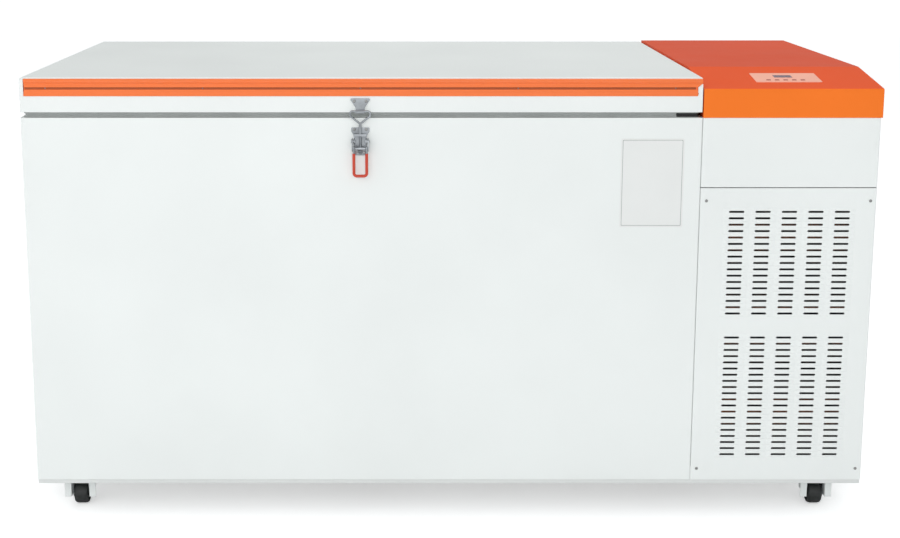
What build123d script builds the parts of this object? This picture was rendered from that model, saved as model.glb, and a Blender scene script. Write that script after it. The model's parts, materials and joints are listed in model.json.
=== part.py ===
from build123d import *
import math
import os

# Chest ultra low temperature freezer: an insulated chest with a hinged lid and a machine bay.
# Millimetres. While it is drawn, x runs right from the cabinet's left side, y runs back from the
# front panels and z runs up from the floor. At the end everything moves so that the origin is the
# middle of the footprint, on the floor.

# Cabinet
chest_width = 1388.0
bay_width = 362.0
body_depth = 840.0
body_bottom = 81.0
body_top = 857.0
sheet = 1.2
panel_seam = 0.6
panel_return = 20.0
panel_bend_radius = 3.0
panel_inner_radius = panel_bend_radius - sheet
tray_fit = 0.1
cabinet_width = chest_width + bay_width
bulkhead_x = chest_width - panel_seam - sheet

# Base frame, a ring of inward channel with cross members and a gusset at each corner
frame_lip = 8.7
frame_height = 40.0
frame_thickness = 2.5
frame_flange = 35.0
cross_member_width = 40.0
gusset_size = 112.0
pan_thickness = 1.8
frame_bottom = body_bottom - frame_lip
frame_top = frame_bottom + frame_height
pan_top = frame_top + pan_thickness

# Insulation and cold chamber
wall_foam = 118.0
floor_foam = 84.0
liner_sheet = 1.0
liner_corner_radius = 40.0
collar_height = 8.0
collar_overhang = 3.0
chamber_left = sheet + wall_foam
chamber_right = bulkhead_x - wall_foam
chamber_front = sheet + wall_foam
chamber_back = body_depth - sheet - wall_foam
chamber_floor = pan_top + floor_foam
foam_top = body_top - collar_height - liner_sheet

# Evaporator, flat tube wound round the liner
coil_turns = 6
coil_first_rise = 51.9
coil_pitch = 90.0
coil_tube_height = 14.0
coil_tube_depth = 6.0
coil_corner_cut = 23.0
coil_first_z = chamber_floor + coil_first_rise

# Probe port through the back wall
port_x = 300.0
port_drop = 287.0
port_z = body_top - port_drop
port_bore_radius = 13.0
port_wall = 3.0
port_flange = 8.0
port_flange_thickness = 3.0

# Lid
lid_side_gap = 0.7
lid_bay_gap = 2.3
lid_gap = 11.3
band_height = 33.0
trim_height = 35.0
lid_crown = 2.7
lid_right = chest_width - lid_bay_gap
lid_bottom = body_top + lid_gap
band_top = lid_bottom + band_height
trim_top = band_top + trim_height
lid_top = trim_top + lid_crown
lid_sheet = 1.0
lid_edge_radius = 4.0
lid_frame_flange = 25.0
plug_clearance = 11.0
plug_depth = 32.0
plug_radius = 36.0
gasket_inset = 5.0
gasket_width = 20.0
gasket_gap = 0.3
gasket_groove = 3.0

# Orange trim along the lid's front edge
trim_left_cap = 8.1
trim_right_gap = 0.9
trim_step = 9.3
trim_left = lid_side_gap + trim_left_cap
trim_right = lid_right - trim_right_gap
trim_lower_right = trim_right - trim_step
trim_proud = 1.5
trim_thickness = 6.0
trim_groove_rise = 13.7
trim_groove_width = 4.4
trim_groove_depth = 3.0
trim_bead_rise = 27.2
trim_groove_low = band_top + trim_groove_rise
trim_groove_high = trim_groove_low + trim_groove_width
trim_bead_z = band_top + trim_bead_rise
trim_bead_radius = 1.3
trim_roll_radius = 5.0
trim_cap_gap = 0.3
trim_screw_first = 53.0
trim_screw_inset = 54.2
trim_screw_count = 5
trim_screw_pitch = (trim_right - trim_screw_inset - trim_screw_first) / (trim_screw_count - 1)
trim_screw_radius = 1.8
trim_screw_height = 1.2

# Lid hinges
hinge_inset = 190.0
hinge_offset = 1.0
hinge_axis_back = 12.0
hinge_axis_rise = 5.0
hinge_middle = chest_width / 2 - hinge_offset
hinge_places = (hinge_inset, hinge_middle, 2 * hinge_middle - hinge_inset)
hinge_axis_z = body_top + hinge_axis_rise
hinge_leaf_width = 64.0
hinge_leaf_height = 60.0
hinge_leaf_thickness = 3.5
hinge_knuckle_radius = 8.0
hinge_pin_radius = 4.0
hinge_pin_clearance = 0.05
hinge_middle_width = 28.0
hinge_side_gap = 0.4
hinge_arm = 7.0
hinge_leaf_drop = 6.0

# Toggle latch at the front
latch_x = 691.0
latch_plate = 2.0
wire_sides = 8
latch_crank = 15.0
latch_over_centre = 5.0
latch_bail_stand_off = 9.0
latch_pivot_drop = 47.0
latch_pivot_z = body_top - latch_pivot_drop
latch_pivot_radius = 2.5
latch_running_gap = 0.06
latch_free_gap = 0.3
bail_bar_rise = 3.3
bail_wire_radius = 2.0
bail_half_width = 20.5
bail_side = 9.6
bail_height = 25.9
bail_stem_radius = 2.8
bail_stem_length = 22.9
bail_bar_z = lid_bottom + bail_bar_rise
bail_shoulder_z = bail_bar_z - bail_side
bail_apex_z = bail_bar_z - bail_height
yoke_z = bail_apex_z - bail_stem_length
yoke_width = 27.6
yoke_height = 4.6
yoke_depth = 6.0
rod_radius = 2.5
rod_end_drop = 27.0
rod_end_z = latch_pivot_z - rod_end_drop
swivel_radius = 4.0
swivel_pin_radius = 2.2
lock_nut_width = 8.0
lock_nut_height = 4.0
lever_inner_half = 15.2
lever_plate = 2.0
lever_pivot_radius = 6.5
lever_grip_stand_off = 16.0
lever_grip_radius = 3.2
lever_grip_drop = 17.0
lever_grip_z = latch_pivot_z - lever_grip_drop
handle_wire_radius = 2.5
handle_half_width = 13.0
handle_drop = 70.4
handle_wire_drop = 10.0
sleeve_radius = 3.1
sleeve_drop = 24.0
handle_low_z = latch_pivot_z - handle_drop
handle_wire_top_z = latch_pivot_z - handle_wire_drop
sleeve_top_z = latch_pivot_z - sleeve_drop
keeper_trim_gap = 4.3
keeper_top_width = 40.0
keeper_taper = 19.0
keeper_top_z = band_top - keeper_trim_gap
keeper_shoulder_z = keeper_top_z - keeper_taper
keeper_neck = 18.6
hook_lip_angle = 28.0
base_top_width = 37.0
base_width = 26.0
base_rise = 27.4
base_shoulder_rise = 19.0
base_neck_rise = 11.0
base_drop = 30.0
base_top_z = latch_pivot_z + base_rise
base_shoulder_z = latch_pivot_z + base_shoulder_rise
base_neck_z = latch_pivot_z + base_neck_rise
base_bottom_z = latch_pivot_z - base_drop
ear_plate = 2.0
ear_radius = 6.0
rivet_head_radius = 4.0
rivet_head_height = 1.2
latch_screw_radius = 3.0
latch_screw_height = 1.4
latch_screw_pitch = 24.0

# Machine bay
upper_panel_height = 144.5
front_split_z = body_top - upper_panel_height
split_gap = 1.6
slot_width = 31.4
slot_height = 4.4
slot_first_inset = 59.9
slot_first_x = chest_width + slot_first_inset
slot_columns = 5
slot_column_pitch = 54.4
slot_row_pitch = 13.5
lower_slot_rise = 56.6
lower_slot_z = body_bottom + lower_slot_rise
lower_slot_rows = 20
upper_slot_rise = 365.0
upper_slot_z = body_bottom + upper_slot_rise
upper_slot_rows = 17
grille_screw_inset = 12.5
grille_screw_low = 25.0
grille_screw_high = 27.5
grille_screw_radius = 3.2
grille_screw_height = 1.6
vent_width = 110.0
vent_height = 8.0
vent_rows = 12
vent_columns = 2
vent_pitch = 24.0
vent_first_rise = 339.0
vent_first_z = body_bottom + vent_first_rise

# Hood
hood_overhang = 3.0
hood_proud = 0.8
hood_sheet = 2.0
hood_front_height = 59.0
hood_front_top = body_top + hood_front_height
hood_slope_depth = 185.0
hood_rise = 26.0
hood_top = hood_front_top + hood_rise
hood_edge_radius = 4.0

# Control panel on the hood's slope, placed by its distance up the slope
panel_inset = 117.0
panel_left = chest_width + panel_inset
panel_width = 136.0
panel_low = 52.1
panel_high = 125.9
panel_plate = 1.2
panel_corner = 3.0
window_margin = 8.0
display_inset = 45.0
display_left = panel_left + display_inset
display_width = 37.6
display_low = 88.0
display_high = 108.0
display_proud = 0.3
button_count = 5
button_first_inset = 28.4
button_first_x = panel_left + button_first_inset
button_pitch = 17.7
button_up_slope = 68.4
button_width = 9.0
button_length = 6.0
button_proud = 0.9
button_gap = 0.3
button_flange = 1.5
button_flange_thickness = 1.0
button_stem = 3.0
button_travel = 0.8
housing_wall = 2.0
housing_depth = 24.0
board_thickness = 1.6
board_clearance = 1.1

# Refrigeration unit
coil_front = 30.0
coil_depth = 44.0
coil_side = 18.0
coil_rise = 15.9
coil_height = 510.0
coil_bottom = pan_top + coil_rise
coil_top = coil_bottom + coil_height
fin_pitch = 20.0
fin_groove = 14.0
fin_groove_depth = 16.0
tube_sheet = 2.0
shroud_depth = 18.0
shroud_plate = 1.5
fan_radius = 148.0
fan_tip_gap = 6.0
fan_hub_radius = 30.0
fan_hub_length = 30.0
fan_blades = 5
fan_blade_width = 74.0
fan_blade_thickness = 2.0
fan_blade_angle = 28.0
fan_shaft_radius = 4.0
fan_shaft_clearance = 0.05
fan_bore_depth = 22.0
fan_front_gap = 9.0
motor_radius = 44.0
motor_length = 56.0
motor_gap = 4.0
fan_arm_width = 12.0
compressor_radius = 88.0
compressor_height = 250.0
compressor_foot = 200.0
compressor_foot_thickness = 4.0
compressor_places = (340.0, 620.0)
compressor_stub_radius = 6.0
compressor_stub_height = 14.0
grommet_radius = 12.0
grommet_height = 22.0
grommet_inset = 18.0
exchanger_depth = 96.0
exchanger_length = 210.0
exchanger_height = 250.0
exchanger_front = 400.0
exchanger_rise = 325.9
exchanger_pipe_step = 30.0
exchanger_low = pan_top + exchanger_rise
tank_radius = 55.0
tank_height = 250.0
tank_side = 100.0
tank_rise = 315.9
tank_x = cabinet_width - tank_side
tank_low = pan_top + tank_rise
tank_back_gap = 26.0
pipe_radius = 5.0
dryer_radius = 20.0
dryer_length = 90.0
box_width = 250.0
box_depth = 130.0
box_height = 130.0
box_front = 50.0
inlet_width = 60.0
inlet_height = 40.0
inlet_depth = 28.0
inlet_flange = 3.0
inlet_socket_width = 34.0
inlet_socket_height = 22.0
inlet_socket_depth = 20.0
inlet_side = 190.0
inlet_rise = 89.0
inlet_x = cabinet_width - inlet_side
inlet_z = body_bottom + inlet_rise

# Casters
caster_left_x = 78.0
caster_right_inset = 79.0
caster_right_x = cabinet_width - caster_right_inset
front_caster_y = 75.0
rear_caster_back = 90.0
wheel_radius = 25.0
wheel_width = 32.0
axle_radius = 4.0
axle_clearance = 0.05
axle_head_radius = 6.0
axle_head_height = 1.5
fork_plate = 2.0
fork_inner_half = 16.5
fork_leg_width = 22.0
fork_crown_width = 44.0
bracket_inner_half = 19.5
bracket_plate = 2.0
bracket_flange = 14.0
bracket_height = 50.3
bracket_front_reach = 25.0
bracket_back_reach = 33.0
bracket_low = frame_bottom - bracket_height
bracket_front = front_caster_y - bracket_front_reach
bracket_back = front_caster_y + bracket_back_reach
top_plate = 2.5
rear_plate_size = 66.0
race_radius = 20.0
race_height = 5.0
race_gap = 0.4
kingpin_radius = 5.0
kingpin_clearance = 0.05
kingpin_head_radius = 8.0
kingpin_head_height = 1.5
swivel_trail = 22.0


def block(x, y, z):
    """A box between two x, two y and two z values."""
    size = Box(x[1] - x[0], y[1] - y[0], z[1] - z[0])
    return Pos((x[0] + x[1]) / 2, (y[0] + y[1]) / 2, (z[0] + z[1]) / 2) * size


def bar_along_x(x, y, z, radius):
    """A round bar between two x values, centred on y and z."""
    return Pos((x[0] + x[1]) / 2, y, z) * Rot(0, 90, 0) * Cylinder(radius, x[1] - x[0])


def bar_along_y(x, y, z, radius):
    """A round bar between two y values, centred on x and z."""
    return Pos(x, (y[0] + y[1]) / 2, z) * Rot(90, 0, 0) * Cylinder(radius, y[1] - y[0])


def bar_along_z(x, y, z, radius):
    """A round bar between two z values, centred on x and y."""
    return Pos(x, y, (z[0] + z[1]) / 2) * Cylinder(radius, z[1] - z[0])


def along_x(outline, x):
    """A side outline, drawn in y and z, carried from one x to the other."""
    side = Plane(origin=(x[0], 0, 0), x_dir=(0, 1, 0), z_dir=(1, 0, 0))
    return extrude(side * outline, amount=x[1] - x[0])


def along_y(outline, y):
    """A front outline, drawn in x and z, carried from one y back to the other."""
    front = Plane(origin=(0, y[1], 0), x_dir=(1, 0, 0), z_dir=(0, -1, 0))
    return extrude(front * outline, amount=y[1] - y[0])


def bent_bar(points, section, closed=False):
    """A bar with mitred corners: a flat section carried along straight runs."""
    path = Polyline(*points, close=closed)
    start = Plane(origin=path @ 0, z_dir=path % 0)
    return sweep(start * section, path=path, transition=Transition.RIGHT)


def wire_section(radius):
    """A wire's round section, simplified to few sides of the same width across flats."""
    return Rot(0, 0, 180 / wire_sides) * RegularPolygon(radius, wire_sides, major_radius=False)


def polygon(points):
    """A flat outline through the points, in the order given."""
    return make_face(Polyline(*points, close=True))


def group(pieces):
    """Separate solids kept together as one sub-part."""
    return Compound([solid for piece in pieces for solid in piece.solids()])


def slab_outline(x, y, radius):
    """A rounded rectangle between two x and two y values, flat on the floor plane."""
    centre = Pos((x[0] + x[1]) / 2, (y[0] + y[1]) / 2)
    return centre * RectangleRounded(x[1] - x[0], y[1] - y[0], radius)


def rounded_block(x, y, z, radius):
    """A box whose four upright edges are rounded."""
    return Pos(0, 0, z[0]) * extrude(slab_outline(x, y, radius), amount=z[1] - z[0])


def screw_head(x, y, z, radius):
    """A small screw head between two y values, simplified to eight sides."""
    return along_y(Pos(x, z) * wire_section(radius), y)


# The cabinet's panels

def wrapped_panel(x, y_face, inward, z, inner_end):
    """A front or back sheet with both ends bent round; the inner end is notched for the frame."""
    y_end = y_face + inward * panel_return
    y_low, y_high = sorted((y_face, y_end))
    outer = block(x, (y_low, y_high), z)
    at_face = outer.edges().filter_by(Axis.Z).group_by(Axis.Y)[0 if inward > 0 else -1]
    outer = fillet(at_face, panel_bend_radius)
    hollow_low, hollow_high = sorted((y_face + inward * sheet, y_end + inward))
    hollow = block((x[0] + sheet, x[1] - sheet), (hollow_low, hollow_high), z)
    hollow_face = hollow.edges().filter_by(Axis.Z).group_by(Axis.Y)[0 if inward > 0 else -1]
    outer -= fillet(hollow_face, panel_inner_radius)
    notch_x = (x[inner_end] - 2 * panel_bend_radius, x[inner_end] + 2 * panel_bend_radius)
    return outer - block(notch_x, (hollow_low, hollow_high), (frame_bottom, pan_top))


def base_frame():
    """Channel ring under the whole cabinet, with two cross members and four corner gussets."""
    x = (sheet, cabinet_width - sheet)
    y = (sheet, body_depth - sheet)
    z = (frame_bottom, frame_top)
    t = frame_thickness
    ring = rounded_block(x, y, z, panel_inner_radius)
    ring -= block(
        (x[0] + frame_flange, x[1] - frame_flange), (y[0] + frame_flange, y[1] - frame_flange), z
    )
    ring -= block((x[0] + t, x[1] - t), (y[0] + t, y[1] - t), (z[0] + t, z[1] - t))
    half = cross_member_width / 2
    for centre in (chest_width / 2, bulkhead_x - half):
        member = block((centre - half, centre + half), (y[0] + t, y[1] - t), z)
        member -= block((centre - half + t, centre + half - t), y, (z[0] - t, z[1] - t))
        ring += member
    for corner_x in ((x[0] + t, x[0] + gusset_size), (x[1] - gusset_size, x[1] - t)):
        for corner_y in ((y[0] + t, y[0] + gusset_size), (y[1] - gusset_size, y[1] - t)):
            ring += block(corner_x, corner_y, (z[0], z[0] + t))
    return ring


def floor_pans():
    """The chest's bottom sheet and the machine bay's floor, side by side on the frame."""
    gap = sheet + tray_fit
    y = (gap, body_depth - gap)
    z = (frame_top, pan_top)
    chest = rounded_block((gap, bulkhead_x), y, z, panel_inner_radius)
    bay = rounded_block((bulkhead_x + gap, cabinet_width - gap), y, z, panel_inner_radius)
    return group([chest, bay])


def side_panel(x):
    """A flat side sheet between the returns of the front and back panels."""
    y = (panel_return + panel_seam, body_depth - panel_return - panel_seam)
    return block(x, y, (body_bottom, body_top))


def bulkhead():
    """The sheet between the insulated chest and the machine bay."""
    y = (panel_return + panel_seam, body_depth - panel_return - panel_seam)
    return block((bulkhead_x, bulkhead_x + sheet), y, (frame_top + pan_thickness, body_top))


def port_hole(radius, y):
    """The probe port's round hole between two y values."""
    return bar_along_y(port_x, y, port_z, radius)


def chest_back_panel():
    """Back sheet of the chest, with the probe port's hole."""
    x = (0, chest_width - panel_seam)
    panel = wrapped_panel(x, body_depth, -1, (body_bottom, body_top), 1)
    return panel - port_hole(port_bore_radius + port_wall, (body_depth - 10, body_depth + 10))


# Insulation, liner and evaporator

def liner_solid(outset, z):
    """The chamber's rounded box, grown outwards by a thickness."""
    x = (chamber_left - outset, chamber_right + outset)
    y = (chamber_front - outset, chamber_back + outset)
    return rounded_block(x, y, z, liner_corner_radius + outset)


def coil_ring(outset, z_middle):
    """One turn of the flat tube, with cut corners that pass outside the liner's round ones."""
    x = (chamber_left - outset, chamber_right + outset)
    y = (chamber_front - outset, chamber_back + outset)
    z = (z_middle - coil_tube_height / 2, z_middle + coil_tube_height / 2)
    ring = block(x, y, z)
    return chamfer(ring.edges().filter_by(Axis.Z), coil_corner_cut)


def evaporator_coil():
    """Turns of flat tube round the liner, joined by risers on the bay side."""
    turns = []
    for turn in range(coil_turns):
        z_middle = coil_first_z + turn * coil_pitch
        outer = coil_ring(liner_sheet + coil_tube_depth, z_middle)
        turns.append(outer - coil_ring(liner_sheet, z_middle))
    x = (chamber_right + liner_sheet, chamber_right + liner_sheet + coil_tube_depth)
    for turn in range(coil_turns - 1):
        z = coil_first_z + turn * coil_pitch
        y_middle = body_depth / 2 + (coil_tube_height if turn % 2 else -coil_tube_height)
        y = (y_middle - coil_tube_height / 2, y_middle + coil_tube_height / 2)
        turns.append(block(x, y, (z, z + coil_pitch)))
    return Part() + turns


def insulation_foam(coil):
    """Foamed walls and floor round the chamber, with channels for the coil."""
    x = (sheet, bulkhead_x)
    y = (sheet, body_depth - sheet)
    foam = rounded_block(x, y, (pan_top, foam_top), panel_inner_radius)
    foam -= liner_solid(liner_sheet, (chamber_floor - liner_sheet, foam_top + 1))
    foam -= coil
    return foam - port_hole(port_bore_radius + port_wall, (chamber_back, body_depth))


def inner_liner():
    """Folded metal tub with a flange that rests on the foam's top."""
    tub = liner_solid(liner_sheet, (chamber_floor - liner_sheet, foam_top))
    x = (sheet, bulkhead_x)
    y = (sheet, body_depth - sheet)
    tub += rounded_block(x, y, (foam_top, foam_top + liner_sheet), panel_inner_radius)
    tub -= liner_solid(0, (chamber_floor, foam_top + 2 * liner_sheet))
    port = (chamber_back - liner_sheet, chamber_back + 2 * liner_sheet)
    return tub - port_hole(port_bore_radius + port_wall, port)


def breaker_collar():
    """Plastic throat frame that covers the foam's rim and turns down inside the liner."""
    x = (sheet, bulkhead_x)
    y = (sheet, body_depth - sheet)
    low = foam_top + liner_sheet
    collar = rounded_block(x, y, (low, body_top), panel_inner_radius)
    collar += liner_solid(0, (low - 2 * collar_height, low))
    return collar - liner_solid(-collar_overhang, (low - 3 * collar_height, body_top + 1))


def port_sleeve():
    """Plastic tube through the back wall, with a flange against the back panel."""
    y = (chamber_back, body_depth)
    sleeve = port_hole(port_bore_radius + port_wall, y)
    flange = (body_depth, body_depth + port_flange_thickness)
    sleeve += port_hole(port_bore_radius + port_flange, flange)
    return sleeve - port_hole(port_bore_radius, (chamber_back - 1, flange[1] + 1))


# Lid

def lid_lower_frame():
    """White band round the lid's lower edge, turned in underneath, and its two end caps."""
    x = (lid_side_gap, lid_right)
    y = (0, body_depth)
    band = block(x, y, (lid_bottom, band_top))
    inner_x = (x[0] + sheet, x[1] - sheet)
    inner_y = (y[0] + sheet, y[1] - sheet)
    band -= block(inner_x, inner_y, (lid_bottom + sheet, band_top))
    flange_x = (x[0] + lid_frame_flange, x[1] - lid_frame_flange)
    flange_y = (y[0] + lid_frame_flange, y[1] - lid_frame_flange)
    band -= block(flange_x, flange_y, (lid_bottom, lid_bottom + sheet))
    return group([band] + lid_end_caps())


trim_back = trim_thickness - trim_proud


def lid_top_skin():
    """Pale top pan: a flat sheet with rounded edges and sides down to the white band."""
    x = (lid_side_gap, lid_right)
    y = (trim_back, body_depth)
    skin = block(x, y, (band_top, lid_top))
    skin = fillet(skin.edges().group_by(Axis.Z)[-1], lid_edge_radius)
    t = lid_sheet
    hollow = block((x[0] + t, x[1] - t), (y[0] + t, y[1] - t), (band_top - t, lid_top - t))
    return skin - fillet(hollow.edges().group_by(Axis.Z)[-1], lid_edge_radius - t)


def plug_block(outset, z):
    """The rounded block under the lid that enters the chamber's mouth."""
    grow = outset - plug_clearance
    x = (chamber_left - grow, chamber_right + grow)
    y = (chamber_front - grow, chamber_back + grow)
    return rounded_block(x, y, z, plug_radius + outset)


def lid_foam():
    """Foam that fills the lid between its top skin, its band and its inner pan."""
    t = lid_sheet
    x = (lid_side_gap + sheet, lid_right - sheet)
    y = (trim_back + t, body_depth - sheet)
    foam = block(x, y, (band_top, lid_top - t))
    foam = fillet(foam.edges().group_by(Axis.Z)[-1], lid_edge_radius)
    foam += block(x, (sheet, y[1]), (lid_bottom + sheet, band_top))
    return foam + plug_block(-t, (lid_bottom - plug_depth + t, lid_bottom + sheet))


def lid_inner_pan():
    """Inner liner of the lid: a pan whose middle drops into the chamber's mouth."""
    t = lid_sheet
    flange_x = (lid_side_gap + lid_frame_flange, lid_right - lid_frame_flange)
    flange_y = (lid_frame_flange, body_depth - lid_frame_flange)
    pan = block(flange_x, flange_y, (lid_bottom + sheet - t, lid_bottom + sheet))
    pan += plug_block(0, (lid_bottom - plug_depth, lid_bottom + sheet))
    return pan - plug_block(-t, (lid_bottom - plug_depth + t, lid_bottom + sheet))


def lid_gasket():
    """Soft seal under the lid's band, grooved along its outer side like a bellows."""
    x = (lid_side_gap + gasket_inset, lid_right - gasket_inset)
    y = (gasket_inset, body_depth - gasket_inset)
    z = (body_top + gasket_gap, lid_bottom)
    w = gasket_width
    ring = block(x, y, z) - block((x[0] + w, x[1] - w), (y[0] + w, y[1] - w), z)
    third = (z[1] - z[0]) / 3
    g = gasket_groove
    groove_z = (z[0] + third, z[1] - third)
    waist = block(x, y, groove_z)
    waist -= block((x[0] + g, x[1] - g), (y[0] + g, y[1] - g), groove_z)
    return ring - waist


def trim_outline():
    """Section of the extruded trim: flats, screw groove, bead and rolled top edge."""
    face = -trim_proud
    roll_start = trim_top - trim_roll_radius
    section = polygon(
        [(face, band_top), (trim_back, band_top), (trim_back, trim_top), (face, trim_top)]
    )
    rolled = Pos(face, roll_start) * Rectangle(
        trim_roll_radius, trim_roll_radius, align=(Align.MIN, Align.MIN)
    )
    rolled -= Pos(face + trim_roll_radius, roll_start) * Circle(trim_roll_radius)
    section -= rolled
    groove = Pos(face, (trim_groove_low + trim_groove_high) / 2) * Rectangle(
        2 * trim_groove_depth, trim_groove_high - trim_groove_low
    )
    section -= groove
    return section + Pos(face, trim_bead_z) * Circle(trim_bead_radius)


def front_trim():
    """Orange handle profile along the lid's front; below the bead it stops short at the right."""
    trim = along_x(trim_outline(), (trim_left, trim_right))
    cut_top = trim_bead_z - 2 * trim_bead_radius
    y = (-2 * trim_proud, trim_back)
    return trim - block((trim_lower_right, trim_right), y, (band_top, cut_top))


def lid_end_caps():
    """White corner pieces that stand on the band and close the front edge beside the trim."""
    left = block(
        (lid_side_gap, trim_left - trim_cap_gap), (0, trim_back), (band_top, trim_top - 1)
    )
    cut_top = trim_bead_z - 2 * trim_bead_radius - trim_cap_gap
    right = block((trim_lower_right + trim_cap_gap, lid_right), (0, trim_back), (band_top, cut_top))
    return [left, right]


def lid_screws():
    """Screw heads in the trim's groove and the two that hold the keeper."""
    floor_y = trim_groove_depth - trim_proud
    z = (trim_groove_low + trim_groove_high) / 2
    heads = []
    for number in range(trim_screw_count):
        x = trim_screw_first + number * trim_screw_pitch
        y = (floor_y - trim_screw_height, floor_y)
        heads.append(screw_head(x, y, z, trim_screw_radius))
    keeper_screw_z = keeper_top_z - 2 * latch_screw_radius
    for side in (-1, 1):
        x = latch_x + side * latch_screw_pitch / 2
        y = (-latch_plate - latch_screw_height, -latch_plate)
        heads.append(screw_head(x, y, keeper_screw_z, latch_screw_radius))
    return group(heads)


# Lid hinges

hinge_axis_y = body_depth + hinge_axis_back


def hinge_leaf(x_ranges, plate_x, plate_z, arm_z, bored):
    """A plate on the back with arms out to knuckles on the hinge axis."""
    y = (body_depth, body_depth + hinge_leaf_thickness)
    leaf = block(plate_x, y, plate_z)
    for x in x_ranges:
        leaf += block(x, (body_depth, hinge_axis_y), arm_z)
        leaf += bar_along_x(x, hinge_axis_y, hinge_axis_z, hinge_knuckle_radius)
        between = (min(plate_z[1], arm_z[1]), max(plate_z[0], arm_z[0]))
        if between[0] < between[1]:
            leaf += block(x, y, between)
    if bored:
        radius = hinge_pin_radius + hinge_pin_clearance
        return leaf - bar_along_x(plate_x, hinge_axis_y, hinge_axis_z, radius)
    return leaf + bar_along_x(plate_x, hinge_axis_y, hinge_axis_z, hinge_pin_radius)


def hinge_body_leaves():
    """Three fixed leaves on the chest's back, each with two knuckles and a pressed-in pin."""
    pieces = []
    half = hinge_leaf_width / 2
    inner = hinge_middle_width / 2 + hinge_side_gap
    plate_top = hinge_axis_z - hinge_knuckle_radius - 1
    for centre in hinge_places:
        knuckles = [(centre - half, centre - inner), (centre + inner, centre + half)]
        leaf = hinge_leaf(
            knuckles,
            (centre - half, centre + half),
            (plate_top - hinge_leaf_height, plate_top),
            (hinge_axis_z - hinge_knuckle_radius, hinge_axis_z - hinge_knuckle_radius + hinge_arm),
            bored=False,
        )
        pieces.append(leaf)
    return group(pieces)


def hinge_lid_leaves():
    """Three leaves on the lid's back, each with the middle knuckle."""
    pieces = []
    half = hinge_leaf_width / 2
    middle = hinge_middle_width / 2
    plate_low = lid_bottom + hinge_leaf_drop
    for centre in hinge_places:
        pieces.append(
            hinge_leaf(
                [(centre - middle, centre + middle)],
                (centre - half, centre + half),
                (plate_low, plate_low + hinge_leaf_height),
                (lid_bottom, lid_bottom + hinge_leaf_drop),
                bored=True,
            )
        )
    return group(pieces)


# Toggle latch

over = math.radians(latch_over_centre)
swivel_y = -latch_bail_stand_off
pivot_y = swivel_y - latch_crank * math.sin(over)
swivel_z = latch_pivot_z - latch_crank * math.cos(over)
hook_centre_y = pivot_y
hook_centre_z = bail_bar_z + latch_crank * math.cos(over)
hook_radius = latch_crank + bail_wire_radius + latch_free_gap


def latch_keeper():
    """Plate on the lid whose foot is a shallow hook, round about the bail's own path."""
    top = keeper_top_width / 2
    neck = keeper_neck / 2
    foot_z = hook_centre_z - hook_radius + latch_plate
    face = polygon(
        [
            (latch_x - neck, foot_z),
            (latch_x + neck, foot_z),
            (latch_x + neck, keeper_shoulder_z),
            (latch_x + top, keeper_top_z - latch_plate),
            (latch_x + top - latch_plate, keeper_top_z),
            (latch_x - top + latch_plate, keeper_top_z),
            (latch_x - top, keeper_top_z - latch_plate),
            (latch_x - neck, keeper_shoulder_z),
        ]
    )
    plate = along_y(face, (-latch_plate, 0))
    lip = math.radians(hook_lip_angle)
    lip_y = hook_centre_y - hook_radius * math.sin(lip)
    band = Pos(hook_centre_y, hook_centre_z) * (
        Circle(hook_radius + latch_plate) - Circle(hook_radius)
    )
    reach = hook_radius + 2 * latch_plate
    foot = Pos(0, hook_centre_z - reach) * Rectangle(
        -lip_y, reach - hook_radius * math.cos(lip), align=(Align.MAX, Align.MIN)
    )
    x = (latch_x - neck, latch_x + neck)
    return plate + along_x(band & foot, x)


def latch_base():
    """Fixed plate with two folded ears, and the two rivets that the lever turns on."""
    top = base_top_width / 2
    half = base_width / 2
    face = polygon(
        [
            (latch_x - half, base_bottom_z),
            (latch_x + half, base_bottom_z),
            (latch_x + half, base_neck_z),
            (latch_x + top, base_shoulder_z),
            (latch_x + top, base_top_z),
            (latch_x - top, base_top_z),
            (latch_x - top, base_shoulder_z),
            (latch_x - half, base_neck_z),
        ]
    )
    plate = along_y(face, (-latch_plate, 0))
    ear = Pos(pivot_y, latch_pivot_z) * wire_section(ear_radius)
    ear += Pos(0, latch_pivot_z) * Rectangle(-pivot_y, 2 * ear_radius, align=(Align.MAX, Align.CENTER))
    rivets = []
    for side in (-1, 1):
        inner, outer = half - ear_plate, half
        x = sorted((latch_x + side * inner, latch_x + side * outer))
        plate += along_x(ear, x)
        head_start = lever_inner_half + lever_plate + latch_free_gap
        x = sorted((latch_x + side * inner, latch_x + side * (head_start + rivet_head_height)))
        rivet = bar_along_x(x, pivot_y, latch_pivot_z, latch_pivot_radius)
        x = sorted(
            (latch_x + side * head_start, latch_x + side * (head_start + rivet_head_height))
        )
        head = Pos(pivot_y, latch_pivot_z) * wire_section(rivet_head_radius)
        rivet += along_x(head, x)
        rivets.append(rivet)
    through = (latch_x - top, latch_x + top)
    plate -= bar_along_x(through, pivot_y, latch_pivot_z, latch_pivot_radius)
    return group([plate] + rivets)


def handle_points(top_z):
    """The U that the handle's wire follows, from one leg's top to the other's."""
    left = latch_x - handle_half_width
    right = latch_x + handle_half_width
    y = -lever_grip_stand_off
    return [(left, y, top_z), (left, y, handle_low_z), (right, y, handle_low_z), (right, y, top_z)]


def handle_wire():
    """The handle's bare wire."""
    return bent_bar(handle_points(handle_wire_top_z), wire_section(handle_wire_radius))


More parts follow.
